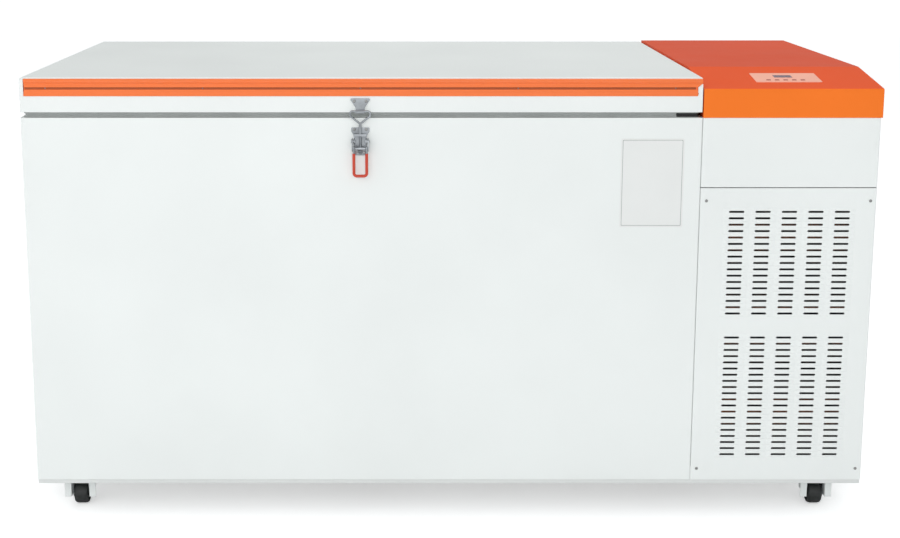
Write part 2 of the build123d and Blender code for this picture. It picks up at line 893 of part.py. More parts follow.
def latch_lever():
    """Two cheeks welded to a bent wire handle, bored for the rivets and the swivel's pins."""
    pivot = Pos(pivot_y, latch_pivot_z) * wire_section(lever_pivot_radius)
    swivel = Pos(swivel_y, swivel_z) * wire_section(lever_pivot_radius - 1)
    grip = Pos(-lever_grip_stand_off, lever_grip_z) * wire_section(lever_grip_radius)
    outline = make_hull(pivot.edges() + swivel.edges() + grip.edges())
    lever = handle_wire()
    for side in (-1, 1):
        x = sorted(
            (latch_x + side * lever_inner_half, latch_x + side * (lever_inner_half + lever_plate))
        )
        lever += along_x(outline, x)
    through = (latch_x - base_top_width, latch_x + base_top_width)
    pivot_hole = latch_pivot_radius + latch_running_gap
    swivel_hole = swivel_pin_radius + latch_running_gap
    lever -= bar_along_x(through, pivot_y, latch_pivot_z, pivot_hole)
    return lever - bar_along_x(through, swivel_y, swivel_z, swivel_hole)


def handle_sleeve():
    """Red plastic tube over the handle's wire."""
    return bent_bar(handle_points(sleeve_top_z), wire_section(sleeve_radius)) - handle_wire()


def bail_wire():
    """Wire loop that lies in the keeper's hook, closed into a twisted stem."""
    half = bail_half_width
    y = swivel_y
    points = [
        (latch_x - half, y, bail_bar_z),
        (latch_x + half, y, bail_bar_z),
        (latch_x + half, y, bail_shoulder_z),
        (latch_x, y, bail_apex_z),
        (latch_x - half, y, bail_shoulder_z),
    ]
    loop = bent_bar(points, wire_section(bail_wire_radius), closed=True)
    yoke_top = yoke_z + yoke_height / 2
    return loop + bar_along_z(latch_x, y, (yoke_top, bail_apex_z + 1), bail_stem_radius)


def bail_rod():
    """Threaded rod with its cross bar above, and the swivel and lock nut that take its pull."""
    y = swivel_y
    x = (latch_x - yoke_width / 2, latch_x + yoke_width / 2)
    depth = (y - yoke_depth / 2, y + yoke_depth / 2)
    height = (yoke_z - yoke_height / 2, yoke_z + yoke_height / 2)
    rod = block(x, depth, height) + bar_along_z(latch_x, y, (rod_end_z, yoke_z), rod_radius)
    reach = lever_inner_half - latch_free_gap
    swivel = bar_along_x((latch_x - reach, latch_x + reach), swivel_y, swivel_z, swivel_radius)
    pins = lever_inner_half + lever_plate
    swivel += bar_along_x((latch_x - pins, latch_x + pins), swivel_y, swivel_z, swivel_pin_radius)
    hole = bar_along_z(latch_x, y, (rod_end_z - 1, yoke_z), rod_radius)
    nut_top = swivel_z - swivel_radius
    nut = RegularPolygon(lock_nut_width / 2, 6, major_radius=False)
    nut = Pos(latch_x, y, nut_top - lock_nut_height) * extrude(nut, amount=lock_nut_height)
    return group([rod, swivel - hole, nut - hole])


# Machine bay panels

bay_left = chest_width
bay_right = cabinet_width


def slot_grid(first_x, width, columns, column_pitch, first_z, height, rows, row_pitch, y):
    """Cutting blocks for a block of equal slots."""
    cuts = []
    for column in range(columns):
        x = first_x + column * column_pitch
        for row in range(rows):
            z = first_z + row * row_pitch
            cuts.append(block((x, x + width), y, (z - height / 2, z + height / 2)))
    return cuts


def grille_panel():
    """Lower front panel, punched with two blocks of cooling slots."""
    z = (body_bottom, front_split_z - split_gap / 2)
    panel = wrapped_panel((bay_left, bay_right), 0, 1, z, 0)
    y = (-sheet, 2 * sheet)
    slots = []
    for first_z, rows in ((lower_slot_z, lower_slot_rows), (upper_slot_z, upper_slot_rows)):
        slots += slot_grid(
            slot_first_x, slot_width, slot_columns, slot_column_pitch,
            first_z, slot_height, rows, slot_row_pitch, y,
        )
    return panel - slots


def bay_front_panel():
    """Plain upper front panel of the machine bay."""
    z = (front_split_z + split_gap / 2, body_top)
    return wrapped_panel((bay_left, bay_right), 0, 1, z, 0)


def bay_back_panel():
    """Back panel of the bay, with exhaust slots and a cut-out for the power inlet."""
    z = (body_bottom, body_top)
    panel = wrapped_panel((bay_left, bay_right), body_depth, -1, z, 0)
    y = (body_depth - 2 * sheet, body_depth + sheet)
    margin = (bay_width - vent_columns * vent_width) / (vent_columns + 1)
    slots = slot_grid(
        bay_left + margin, vent_width, vent_columns, vent_width + margin,
        vent_first_z, vent_height, vent_rows, vent_pitch, y,
    )
    cut = block(
        (inlet_x - inlet_width / 2 + inlet_flange, inlet_x + inlet_width / 2 - inlet_flange),
        y,
        (inlet_z - inlet_height / 2 + inlet_flange, inlet_z + inlet_height / 2 - inlet_flange),
    )
    return panel - slots - cut


def power_inlet():
    """Moulded socket for a mains lead, with its flange outside the back panel."""
    x = (inlet_x - inlet_width / 2, inlet_x + inlet_width / 2)
    z = (inlet_z - inlet_height / 2, inlet_z + inlet_height / 2)
    body_x = (x[0] + inlet_flange, x[1] - inlet_flange)
    body_z = (z[0] + inlet_flange, z[1] - inlet_flange)
    inlet = block(x, (body_depth, body_depth + inlet_flange), z)
    inlet += block(body_x, (body_depth + inlet_flange - inlet_depth, body_depth), body_z)
    socket_x = (inlet_x - inlet_socket_width / 2, inlet_x + inlet_socket_width / 2)
    socket_z = (inlet_z - inlet_socket_height / 2, inlet_z + inlet_socket_height / 2)
    mouth = body_depth + inlet_flange
    return inlet - block(socket_x, (mouth - inlet_socket_depth, mouth + 1), socket_z)


def body_screws():
    """Screw heads at the grille's corners and on the latch base's flared top."""
    heads = []
    y = (-grille_screw_height, 0)
    for x in (bay_left + grille_screw_inset, bay_right - grille_screw_inset):
        for z in (body_bottom + grille_screw_low, front_split_z - grille_screw_high):
            heads.append(screw_head(x, y, z, grille_screw_radius))
    for side in (-1, 1):
        x = latch_x + side * latch_screw_pitch / 2
        y = (-latch_plate - latch_screw_height, -latch_plate)
        z = (base_shoulder_z + base_top_z) / 2
        heads.append(screw_head(x, y, z, latch_screw_radius))
    return group(heads)


# Hood and control panel

slope_angle = math.degrees(math.atan2(hood_top - hood_front_top, hood_slope_depth + hood_proud))
slope = Plane(origin=(0, -hood_proud, hood_front_top), x_dir=(1, 0, 0), z_dir=(0, 0, 1))
slope = slope.rotated((slope_angle, 0, 0))


def on_slope(x, up, out):
    """A box drawn on the hood's slope: along x, up the slope and out of it."""
    centre = ((x[0] + x[1]) / 2, (up[0] + up[1]) / 2, (out[0] + out[1]) / 2)
    return slope * Pos(*centre) * Box(x[1] - x[0], up[1] - up[0], out[1] - out[0])


def hood_outline(inset):
    """The hood's side outline, moved inwards by a sheet thickness, with eased top edges."""
    front = -hood_proud + inset
    back = body_depth + hood_proud - inset
    slant = math.radians(slope_angle)
    corner = hood_front_top - inset * math.tan((math.pi / 2 - slant) / 2)
    kink = hood_slope_depth + inset * math.tan(slant / 2)
    outline = polygon(
        [
            (front, body_top - (1 if inset else 0)),
            (back, body_top - (1 if inset else 0)),
            (back, hood_top - inset),
            (kink, hood_top - inset),
            (front, corner),
        ]
    )
    eased = [v for v in outline.vertices() if v.Y > body_top + 1 and abs(v.X - kink) > 1]
    return fillet(eased, hood_edge_radius - inset)


def hood_cover():
    """Orange folded cover over the machine bay, open below, with the control panel's window."""
    x = (chest_width, cabinet_width + hood_overhang)
    hood = along_x(hood_outline(0), x)
    hood -= along_x(hood_outline(hood_sheet), (x[0] + hood_sheet, x[1] - hood_sheet))
    window_x = (panel_left + window_margin, panel_left + panel_width - window_margin)
    window_up = (panel_low + window_margin, panel_high - window_margin)
    return hood - on_slope(window_x, window_up, (-2 * hood_sheet, hood_sheet))


def button_x(number):
    """Centre of one button along x."""
    return button_first_x + number * button_pitch


def button_block(number, grow, out):
    """A block on one button's centre, grown by a margin all round."""
    x = button_x(number)
    half_x = button_width / 2 + grow
    half_up = button_length / 2 + grow
    return on_slope(
        (x - half_x, x + half_x), (button_up_slope - half_up, button_up_slope + half_up), out
    )


def control_bezel():
    """Membrane panel's carrier plate, with a window for the display and holes for the keys."""
    x = (panel_left, panel_left + panel_width)
    plate = on_slope(x, (panel_low, panel_high), (0, panel_plate))
    upright = plate.edges().filter_by(Axis((0, 0, 0), slope.z_dir))
    plate = fillet(upright, panel_corner)
    window = on_slope(
        (display_left, display_left + display_width), (display_low, display_high), (-1, 3)
    )
    plate -= window
    for number in range(button_count):
        plate -= button_block(number, button_gap, (-1, 3))
    return plate


def display_lens():
    """Smoked window over the temperature display, with its module below."""
    x = (display_left, display_left + display_width)
    board_top = button_underside - board_clearance
    return on_slope(x, (display_low, display_high), (board_top, panel_plate + display_proud))


button_underside = -button_gap - button_flange_thickness - button_stem


def button_cap(number):
    """One key: a cap through the bezel, a flange that keeps it in, and a stem to its switch."""
    cap = button_block(number, 0, (-button_gap, panel_plate + button_proud))
    flange = (-button_gap - button_flange_thickness, -button_gap)
    cap += button_block(number, button_flange, flange)
    return cap + button_block(number, -1.5, (button_underside, flange[0]))


def controller():
    """Plastic tray under the slope with the circuit board inside it."""
    margin = window_margin - housing_wall
    x = (panel_left + margin, panel_left + panel_width - margin)
    up = (panel_low + margin, panel_high - margin)
    out = (-hood_sheet - housing_depth, -hood_sheet)
    w = housing_wall
    inner_x = (x[0] + w, x[1] - w)
    inner_up = (up[0] + w, up[1] - w)
    tray = on_slope(x, up, out) - on_slope(inner_x, inner_up, (out[0] + w, out[1]))
    board_top = button_underside - board_clearance
    board_low = board_top - board_thickness
    posts = []
    for post_x in ((inner_x[0], inner_x[0] + 3 * w), (inner_x[1] - 3 * w, inner_x[1])):
        posts.append(on_slope(post_x, inner_up, (out[0] + w, board_low)))
    board = on_slope(inner_x, inner_up, (board_low, board_top))
    return group([tray + posts, board])


# Refrigeration unit

bay_inner_left = bulkhead_x + sheet
bay_inner_right = cabinet_width - sheet
unit_x = (bay_inner_left + coil_side, bay_inner_right - coil_side)
unit_middle = (unit_x[0] + unit_x[1]) / 2
fan_z = (coil_bottom + coil_top) / 2
coil_back = coil_front + coil_depth
shroud_back = coil_back + shroud_depth
fan_front = shroud_back + fan_front_gap
fan_back = fan_front + fan_hub_length
motor_front = fan_back + motor_gap


def condenser_coil():
    """Finned block between two tube sheets that stand on the bay floor."""
    inner_x = (unit_x[0] + tube_sheet, unit_x[1] - tube_sheet)
    coil = block(inner_x, (coil_front, coil_back), (coil_bottom, coil_top))
    count = int((inner_x[1] - inner_x[0]) / fin_pitch)
    start = (inner_x[0] + inner_x[1] - (count - 1) * fin_pitch) / 2
    grooves = []
    for number in range(count):
        middle = start + number * fin_pitch
        x = (middle - fin_groove / 2, middle + fin_groove / 2)
        for y in (
            (coil_front - 1, coil_front + fin_groove_depth),
            (coil_back - fin_groove_depth, coil_back + 1),
        ):
            grooves.append(block(x, y, (coil_bottom - 1, coil_top + 1)))
    coil -= grooves
    for x in ((unit_x[0], inner_x[0]), (inner_x[1], unit_x[1])):
        coil += block(x, (coil_front, coil_back), (pan_top, coil_top))
    return coil


def fan_shroud():
    """Sheet box behind the condenser with the fan's round mouth and three motor arms."""
    z = (coil_bottom, coil_top)
    shroud = block(unit_x, (coil_back, shroud_back), z)
    t = shroud_plate
    shroud -= block(
        (unit_x[0] + t, unit_x[1] - t), (coil_back, shroud_back - t), (z[0] + t, z[1] - t)
    )
    mouth = fan_radius + fan_tip_gap
    back = motor_front + motor_length / 2
    ring = bar_along_y(unit_middle, (shroud_back - t, shroud_back + shroud_depth), fan_z, mouth + t)
    shroud += ring
    arms = []
    for number in range(3):
        turn = Pos(unit_middle, 0, fan_z) * Rot(0, 90 + number * 120, 0)
        reach = (motor_radius, mouth + t + fan_arm_width)
        half = fan_arm_width / 2
        arm = block(reach, (back - t, back), (-half, half))
        arm += block((reach[1] - t, reach[1]), (shroud_back, back), (-half, half))
        arms.append(turn * arm)
    shroud += arms
    return shroud - bar_along_y(unit_middle, (coil_back, back - t - 1), fan_z, mouth)


def condenser_fan():
    """Hub with pitched blades, bored to run on the motor's shaft."""
    hub = bar_along_y(unit_middle, (fan_front, fan_back), fan_z, fan_hub_radius)
    middle_y = (fan_front + fan_back) / 2
    blades = []
    for number in range(fan_blades):
        length = fan_radius - fan_hub_radius + 4
        blade = Box(length, fan_blade_thickness, fan_blade_width)
        blade = Pos(fan_hub_radius - 4 + length / 2, 0, 0) * Rot(fan_blade_angle, 0, 0) * blade
        turn = Pos(unit_middle, middle_y, fan_z) * Rot(0, number * 360 / fan_blades, 0)
        blades.append(turn * blade)
    fan = hub + blades
    fan &= bar_along_y(unit_middle, (middle_y - fan_radius, middle_y + fan_radius), fan_z, fan_radius)
    bore = (fan_back - fan_bore_depth, fan_back + 1)
    return fan - bar_along_y(unit_middle, bore, fan_z, fan_shaft_radius + fan_shaft_clearance)


def fan_motor():
    """Motor can held in the shroud's arms, with its shaft into the fan's hub."""
    motor = bar_along_y(
        unit_middle, (motor_front, motor_front + motor_length), fan_z, motor_radius
    )
    shaft = (fan_back - fan_bore_depth + 1, motor_front)
    return motor + bar_along_y(unit_middle, shaft, fan_z, fan_shaft_radius)


def compressors():
    """Two hermetic compressors, one for each stage, each with its foot plate and stubs."""
    low = pan_top + grommet_height
    foot_top = low + compressor_foot_thickness
    half = compressor_foot / 2
    pieces = []
    for centre_y in compressor_places:
        shell_top = foot_top + compressor_height
        shell = bar_along_z(0, 0, (foot_top, shell_top), compressor_radius)
        shell = chamfer(shell.edges().group_by(Axis.Z)[-1], compressor_radius / 4)
        foot = block((-half, half), (-half, half), (low, foot_top))
        foot = chamfer(foot.edges().filter_by(Axis.Z), 2 * grommet_inset / 3)
        stub_z = (foot_top + compressor_height / 2, shell_top + compressor_stub_height)
        stub_y = compressor_radius / 2
        stub = bar_along_z(0, stub_y, (stub_z[0], stub_z[1]), compressor_stub_radius)
        pieces.append(Pos(unit_middle, centre_y, 0) * (shell + foot + stub))
    return group(pieces)


def compressor_grommets():
    """Rubber mounts between the compressors' foot plates and the bay floor."""
    reach = compressor_foot / 2 - grommet_inset
    mounts = []
    for centre_y in compressor_places:
        for side_x in (-1, 1):
            for side_y in (-1, 1):
                x = unit_middle + side_x * reach
                y = centre_y + side_y * reach
                z = (pan_top, pan_top + grommet_height)
                half = grommet_radius
                mounts.append(block((x - half, x + half), (y - half, y + half), z))
    return group(mounts)


def heat_exchanger():
    """Foam-cased cascade heat exchanger on the bulkhead."""
    x = (bay_inner_left, bay_inner_left + exchanger_depth)
    y = (exchanger_front, exchanger_front + exchanger_length)
    case = block(x, y, (exchanger_low, exchanger_low + exchanger_height))
    return chamfer(case.edges().filter_by(Axis.Z).sort_by(Axis.X)[-2:], exchanger_depth / 6)


def expansion_tank():
    """Upright gas vessel with a saddle bracket on the back panel."""
    centre_y = body_depth - sheet - tank_back_gap - tank_radius
    z = (tank_low, tank_low + tank_height)
    vessel = bar_along_z(tank_x, centre_y, z, tank_radius)
    half = tank_radius / 2
    middle = (z[0] + z[1]) / 2
    saddle = block(
        (tank_x - half, tank_x + half), (centre_y, body_depth - sheet), (middle - half, middle + half)
    )
    saddle -= bar_along_z(tank_x, centre_y, z, tank_radius)
    return group([vessel, saddle])


def pipe(points):
    """A refrigerant line along straight runs."""
    return bent_bar(points, wire_section(pipe_radius))


def refrigerant_lines():
    """Copper lines between the compressors, exchanger and condenser, with the filter dryer."""
    shell_top = pan_top + grommet_height + compressor_foot_thickness + compressor_height
    stub_top = shell_top + compressor_stub_height
    stub_y = compressor_radius / 2
    first_y = compressor_places[0] + stub_y
    second_y = compressor_places[1] + stub_y
    case_x = bay_inner_left + exchanger_depth
    high = exchanger_low + exchanger_height / 2
    middle_y = exchanger_front + exchanger_length / 2
    to_case = pipe(
        [
            (unit_middle, first_y, stub_top),
            (unit_middle, first_y, high),
            (case_x, first_y, high),
        ]
    )
    from_case = pipe(
        [
            (unit_middle, second_y, stub_top),
            (unit_middle, second_y, high - exchanger_height / 4),
            (unit_middle, middle_y + exchanger_pipe_step, high - exchanger_height / 4),
            (case_x, middle_y + exchanger_pipe_step, high - exchanger_height / 4),
        ]
    )
    dryer_x = bay_inner_left + dryer_radius
    dryer_y = (shroud_back + dryer_length / 2, exchanger_front)
    dryer_z = exchanger_low + exchanger_height / 4
    line = bar_along_y(dryer_x, dryer_y, dryer_z, pipe_radius)
    start = (dryer_y[0] + dryer_y[1] - dryer_length) / 2
    dryer = bar_along_y(dryer_x, (start, start + dryer_length), dryer_z, dryer_radius)
    return group([to_case, from_case, line + dryer])


def electrical_box():
    """Sheet case for the contactors, fixed to the bulkhead behind the upper front panel."""
    x = (bay_inner_left, bay_inner_left + box_width)
    z = (body_top - box_height - collar_height, body_top - collar_height)
    y = (box_front, box_front + box_depth)
    t = 2 * sheet
    case = block(x, y, z)
    return case - block((x[0] + t, x[1] - t), (y[0] + t, y[1] - t), (z[0] + t, z[1] - t))


# Casters

def wheel(x, y):
    """Solid wheel, bored to run on its axle."""
    turned = Rot(0, 90, 0) * Cylinder(wheel_radius, wheel_width)
    bore = Rot(0, 90, 0) * Cylinder(axle_radius + axle_clearance, 2 * wheel_width)
    return Pos(x, y, wheel_radius) * (turned - bore)


def caster_fork(x, y_wheel, y_crown, crown_top):
    """Pressed fork: a crown plate and two legs down to the axle, with the axle in them."""
    outer = fork_inner_half + fork_plate
    crown_half = fork_crown_width / 2
    low = crown_top - fork_plate
    fork = block((x - outer, x + outer), (y_crown - crown_half, y_crown + crown_half), (low, crown_top))
    leg_half = fork_leg_width / 2
    tip = Pos(y_wheel, wheel_radius) * wire_section(leg_half)
    root = polygon(
        [
            (y_wheel - leg_half, wheel_radius),
            (y_wheel + leg_half, wheel_radius),
            (y_crown + crown_half, low),
            (y_crown - crown_half, low),
        ]
    )
    for side in (-1, 1):
        leg_x = sorted((x + side * fork_inner_half, x + side * outer))
        fork += along_x(root + tip, leg_x)
    through = (x - outer, x + outer)
    fork -= bar_along_x(through, y_wheel, wheel_radius, axle_radius)
    axle = bar_along_x(through, y_wheel, wheel_radius, axle_radius)
    return fork, axle


def front_caster_brackets():
    """White hat brackets under the frame's front corners, with flanges that face forward."""
    pieces = []
    for x in (caster_left_x, caster_right_x):
        inner = bracket_inner_half
        outer = inner + bracket_plate
        wide = inner + bracket_flange
        y = (bracket_front, bracket_back)
        z = (bracket_low, frame_bottom)
        bracket = block((x - outer, x + outer), y, z)
        bracket += block((x - wide, x + wide), (y[0], y[0] + bracket_plate), z)
        bracket -= block((x - inner, x + inner), (y[0] - 1, y[1] + 1), (z[0] - 1, z[1] - top_plate))
        pieces.append(bracket)
    return group(pieces)


def front_caster_forks():
    """The two rigid front forks with their axles, under the brackets' tops."""
    pieces = []
    for x in (caster_left_x, caster_right_x):
        fork, axle = caster_fork(x, front_caster_y, front_caster_y, frame_bottom - top_plate)
        pieces += [fork, axle]
    return group(pieces)


rear_swivel_y = body_depth - rear_caster_back
rear_wheel_y = rear_swivel_y + swivel_trail
rear_crown_top = frame_bottom - top_plate - race_height - race_gap


def rear_caster_plates():
    """Top plates of the rear casters, each with its upper race and king pin."""
    pieces = []
    half = rear_plate_size / 2
    for x in (caster_left_x, caster_right_x):
        y = rear_swivel_y
        z = (frame_bottom - top_plate, frame_bottom)
        plate = block((x - half, x + half), (y - half, y + half), z)
        plate += bar_along_z(x, y, (z[0] - race_height, z[0]), race_radius)
        head = rear_crown_top - fork_plate - race_gap
        plate += bar_along_z(x, y, (head - kingpin_head_height, z[0]), kingpin_radius)
        plate += bar_along_z(x, y, (head - kingpin_head_height, head), kingpin_head_radius)
        pieces.append(plate)
    return group(pieces)


def rear_caster_fork(x):
    """One swivelling fork, bored for the king pin, with its axle."""
    fork, axle = caster_fork(x, rear_wheel_y, rear_swivel_y, rear_crown_top)
    hole = (rear_crown_top - 2 * fork_plate, rear_crown_top + 1)
    fork -= bar_along_z(x, rear_swivel_y, hole, kingpin_radius + kingpin_clearance)
    return group([fork, axle])


coil = evaporator_coil()
left_side = (0, sheet)
right_side = (cabinet_width - sheet, cabinet_width)
chest_span = (0, chest_width - panel_seam)

nodes = {
    "base_frame": base_frame(),
    "floor_pans": floor_pans(),
    "chest_front_panel": wrapped_panel(chest_span, 0, 1, (body_bottom, body_top), 1),
    "chest_left_panel": side_panel(left_side),
    "chest_back_panel": chest_back_panel(),
    "bulkhead": bulkhead(),
    "evaporator_coil": coil,
    "insulation_foam": insulation_foam(coil),
    "inner_liner": inner_liner(),
    "breaker_collar": breaker_collar(),
    "port_sleeve": port_sleeve(),
    "lid_lower_frame": lid_lower_frame(),
    "lid_top_skin": lid_top_skin(),
    "lid_foam": lid_foam(),
    "lid_inner_pan": lid_inner_pan(),
    "lid_gasket": lid_gasket(),
    "front_trim": front_trim(),
    "lid_screws": lid_screws(),
    "hinge_body_leaves": hinge_body_leaves(),
    "hinge_lid_leaves": hinge_lid_leaves(),
    "latch_keeper": latch_keeper(),
    "latch_base": latch_base(),
    "latch_lever": latch_lever(),
    "handle_sleeve": handle_sleeve(),
    "bail_wire": bail_wire(),
    "bail_rod": bail_rod(),
    "grille_panel": grille_panel(),
    "bay_front_panel": bay_front_panel(),
    "bay_side_panel": side_panel(right_side),
    "bay_back_panel": bay_back_panel(),
    "power_inlet": power_inlet(),
    "body_screws": body_screws(),
    "hood_cover": hood_cover(),
    "control_bezel": control_bezel(),
    "display_lens": display_lens(),
    "controller": controller(),
    "condenser_coil": condenser_coil(),
    "fan_shroud": fan_shroud(),
    "condenser_fan": condenser_fan(),
    "fan_motor": fan_motor(),
    "compressors": compressors(),
    "compressor_grommets": compressor_grommets(),
    "heat_exchanger": heat_exchanger(),
    "expansion_tank": expansion_tank(),
    "refrigerant_lines": refrigerant_lines(),
    "electrical_box": electrical_box(),
    "front_caster_brackets": front_caster_brackets(),
    "front_caster_forks": front_caster_forks(),
    "front_left_wheel": wheel(caster_left_x, front_caster_y),
    "front_right_wheel": wheel(caster_right_x, front_caster_y),
    "rear_caster_plates": rear_caster_plates(),
    "rear_left_fork": rear_caster_fork(caster_left_x),
    "rear_right_fork": rear_caster_fork(caster_right_x),
    "rear_left_wheel": wheel(caster_left_x, rear_wheel_y),
    "rear_right_wheel": wheel(caster_right_x, rear_wheel_y),
}
for number in range(button_count):
    nodes[f"button_{number + 1}"] = button_cap(number)

# The origin is the middle of the footprint, on the floor.
outline_box = group(nodes.values()).bounding_box()
footprint_x = (outline_box.min.X + outline_box.max.X) / 2
footprint_y = (outline_box.min.Y + outline_box.max.Y) / 2

os.makedirs("parts", exist_ok=True)
for name, shape in nodes.items():
    export_step(Pos(-footprint_x, -footprint_y, 0) * shape, f"parts/{name}.step")

print("overall size", outline_box.size)
print("moved by", -footprint_x, -footprint_y)
print("lid hinge axis", hinge_axis_y - footprint_y, hinge_axis_z)
print("lever pivot", latch_x - footprint_x, pivot_y - footprint_y, latch_pivot_z)
print("bail pivot", swivel_y - footprint_y, swivel_z)
print("slope normal", slope.z_dir)
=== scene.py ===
# %% [markdown]
# # A chest ultra low temperature freezer
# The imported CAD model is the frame: a foamed chest, a lid, a toggle latch and a machine bay on
# casters. This lesson dresses it. Each cell takes one piece or one finish of the real freezer,
# says what it is, and makes it from a formula worked out on whole arrays.

import json

import bmesh
import bpy
import numpy as np
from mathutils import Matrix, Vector
from mathutils.geometry import tessellate_polygon


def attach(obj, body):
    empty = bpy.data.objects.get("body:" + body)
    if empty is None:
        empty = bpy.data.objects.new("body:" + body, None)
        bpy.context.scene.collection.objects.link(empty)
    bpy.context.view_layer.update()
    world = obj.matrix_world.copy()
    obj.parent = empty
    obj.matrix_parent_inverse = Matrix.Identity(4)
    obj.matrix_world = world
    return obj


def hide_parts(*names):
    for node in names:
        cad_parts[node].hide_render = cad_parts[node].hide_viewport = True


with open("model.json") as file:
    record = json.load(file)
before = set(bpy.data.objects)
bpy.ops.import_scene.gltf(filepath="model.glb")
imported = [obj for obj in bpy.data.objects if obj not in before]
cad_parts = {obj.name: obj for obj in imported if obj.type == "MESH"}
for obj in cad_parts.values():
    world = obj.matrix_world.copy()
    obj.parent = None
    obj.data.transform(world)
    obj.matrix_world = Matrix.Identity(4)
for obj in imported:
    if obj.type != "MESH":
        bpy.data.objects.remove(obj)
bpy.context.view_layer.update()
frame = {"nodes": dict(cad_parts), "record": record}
scene = bpy.context.scene
scene.view_settings.view_transform = "Standard"

# %% [markdown]
# The workshop drawing counts millimetres from the chest's left end, its front face and the
# floor. The CAD frame counts metres from the middle of the footprint. One small function takes
# drawing points into the frame, so every size below can be read off the drawing.

# %% From the drawing to the frame
FOOTPRINT_MIDDLE = np.array([876.5, 420.4, 0.0])


def placed(points):
    """Drawing millimetres to frame metres: subtract the footprint's middle, divide by 1000."""
    return (np.asarray(points, float) - FOOTPRINT_MIDDLE) / 1000.0


print("lid's front corner", placed([0.7, 0.0, 901.3]))

# %% [markdown]
# ## Camera
# The photograph looks at the freezer from the front, a little above it. A lens of about 60 mm
# on a full frame gives its flat perspective. The photograph's verticals are upright.
# Part of the aim is a small shift in place of more tilt, which keeps the scene's nearly so.

# %% Camera
FOCAL_PIXELS, PICTURE_PIXELS, SENSOR_MM = 1488.0, 900.0, 36.0
TILT_DOWN = 10.6

camera_data = bpy.data.cameras.new("photo_camera")
camera = bpy.data.objects.new("photo_camera", camera_data)
scene.collection.objects.link(camera)
scene.camera = camera
camera_data.lens = FOCAL_PIXELS / PICTURE_PIXELS * SENSOR_MM
camera_data.shift_x = 0.045
camera_data.shift_y = -0.09
camera.location = placed([791.0, -2998.0, 1273.0])
camera.rotation_euler = (np.radians(90.0 - TILT_DOWN), 0.0, 0.0)
camera_data.clip_end = 50.0
print("camera at", tuple(camera.location), "lens", camera_data.lens)

# %% [markdown]
# ## Light
# The studio is white all round. The world gives a soft light, stronger from the front than from
# the back. Rays from the camera, and rays through clear pieces, see plain white behind the
# freezer.

# %% World
def add_node(tree, kind, inputs=(), **settings):
    """A shader node of a kind. Each input gets a value, or an output socket to link to it."""
    node = tree.nodes.new("ShaderNode" + kind)
    for name, setting in settings.items():
        setattr(node, name, setting)
    for socket, given in dict(inputs).items():
        if isinstance(given, bpy.types.NodeSocket):
            tree.links.new(given, node.inputs[socket])
        else:
            node.inputs[socket].default_value = given
    return node


world = bpy.data.worlds.new("white_studio")
scene.world = world
world.use_nodes = True
tree = world.node_tree
tree.nodes.clear()
rays = add_node(tree, "LightPath").outputs
seen = add_node(tree, "Math", {0: rays["Is Camera Ray"], 1: rays["Is Transmission Ray"]},
                operation="MAXIMUM")
direction = add_node(tree, "TexCoord").outputs["Generated"]
front_to_back = add_node(tree, "SeparateXYZ", {"Vector": direction}).outputs["Y"]
strength = add_node(tree, "MapRange", {
    "Value": front_to_back, "From Min": -1.0, "To Min": 0.74, "To Max": 0.5,
}).outputs["Result"]
ambient = add_node(tree, "Background", {"Color": (0.955, 0.985, 1.0, 1.0), "Strength": strength})
white = add_node(tree, "Background", {"Color": (1.0, 1.0, 1.0, 1.0), "Strength": 1.05})
mixed = add_node(tree, "MixShader", {
    "Fac": seen.outputs[0], 1: ambient.outputs[0], 2: white.outputs[0],
})
add_node(tree, "OutputWorld", {"Surface": mixed.outputs[0]})
print("world ready")

# %% [markdown]
# Three soft panels add direction: a large one in front, a small one at the left, one above.

# %% Soft panels
def soft_panel(name, spot, aim, size, power):
    """A rectangular lamp at spot that faces aim, both in metres."""
    lamp = bpy.data.lights.new(name, "AREA")
    lamp.shape = "RECTANGLE"
    lamp.size, lamp.size_y = size
    lamp.energy = power
    holder = bpy.data.objects.new(name, lamp)
    scene.collection.objects.link(holder)
    holder.location = spot
    holder.rotation_euler = (Vector(aim) - Vector(spot)).to_track_quat("-Z", "Y").to_euler()


soft_panel("front_panel_light", (-0.6, -4.2, 1.9), (0.0, 0.0, 0.5), (4.0, 2.4), 42.0)
soft_panel("left_panel_light", (-3.4, -1.6, 2.0), (0.0, 0.0, 0.4), (2.0, 2.0), 12.0)
soft_panel("top_panel_light", (0.4, 0.8, 3.2), (0.0, 0.0, 0.8), (3.0, 2.0), 24.0)


# %% [markdown]
# ## Finishes
# Every finish is a Principled shader with one to three procedural textures on Object
# coordinates: a slow noise that varies the colour, by a few percent in paint and up to 30 in
# plated metal, and a fine noise that drives a bump. Numbers that are the same all over stay on
# the shader's own sockets. Colours are screen values, chosen against the photograph where it
# shows the piece, and turned into linear light.

# %% Colour and noise helpers
# The noise values that give the darker tone and the full one.
TONE_FROM, TONE_TO = 0.35, 0.62


def linear(red, green, blue):
    """Screen values 0 to 255 to linear light: the sRGB curve, a power of 2.4 above its toe."""
    c = np.array([red, green, blue]) / 255.0
    return tuple(np.where(c <= 0.04045, c / 12.92, ((c + 0.055) / 1.055) ** 2.4))


def new_shader(name, colour, roughness, metallic=0.0, coat=0.0, specular=0.5):
    """A Principled material with its even values on its own sockets."""
    material = bpy.data.materials.new(name)
    material.use_nodes = True
    shader = material.node_tree.nodes["Principled BSDF"]
    values = {"Base Color": (*linear(*colour), 1.0), "Roughness": roughness, "Metallic": metallic,
              "Specular IOR Level": specular, "Coat Weight": coat, "Coat Roughness": 0.25}
    for socket, value in values.items():
        shader.inputs[socket].default_value = value
    return material


def into_shader(material, socket, output):
    """Links an output to a socket of the material's shader."""
    tree = material.node_tree
    tree.links.new(output, tree.nodes["Principled BSDF"].inputs[socket])


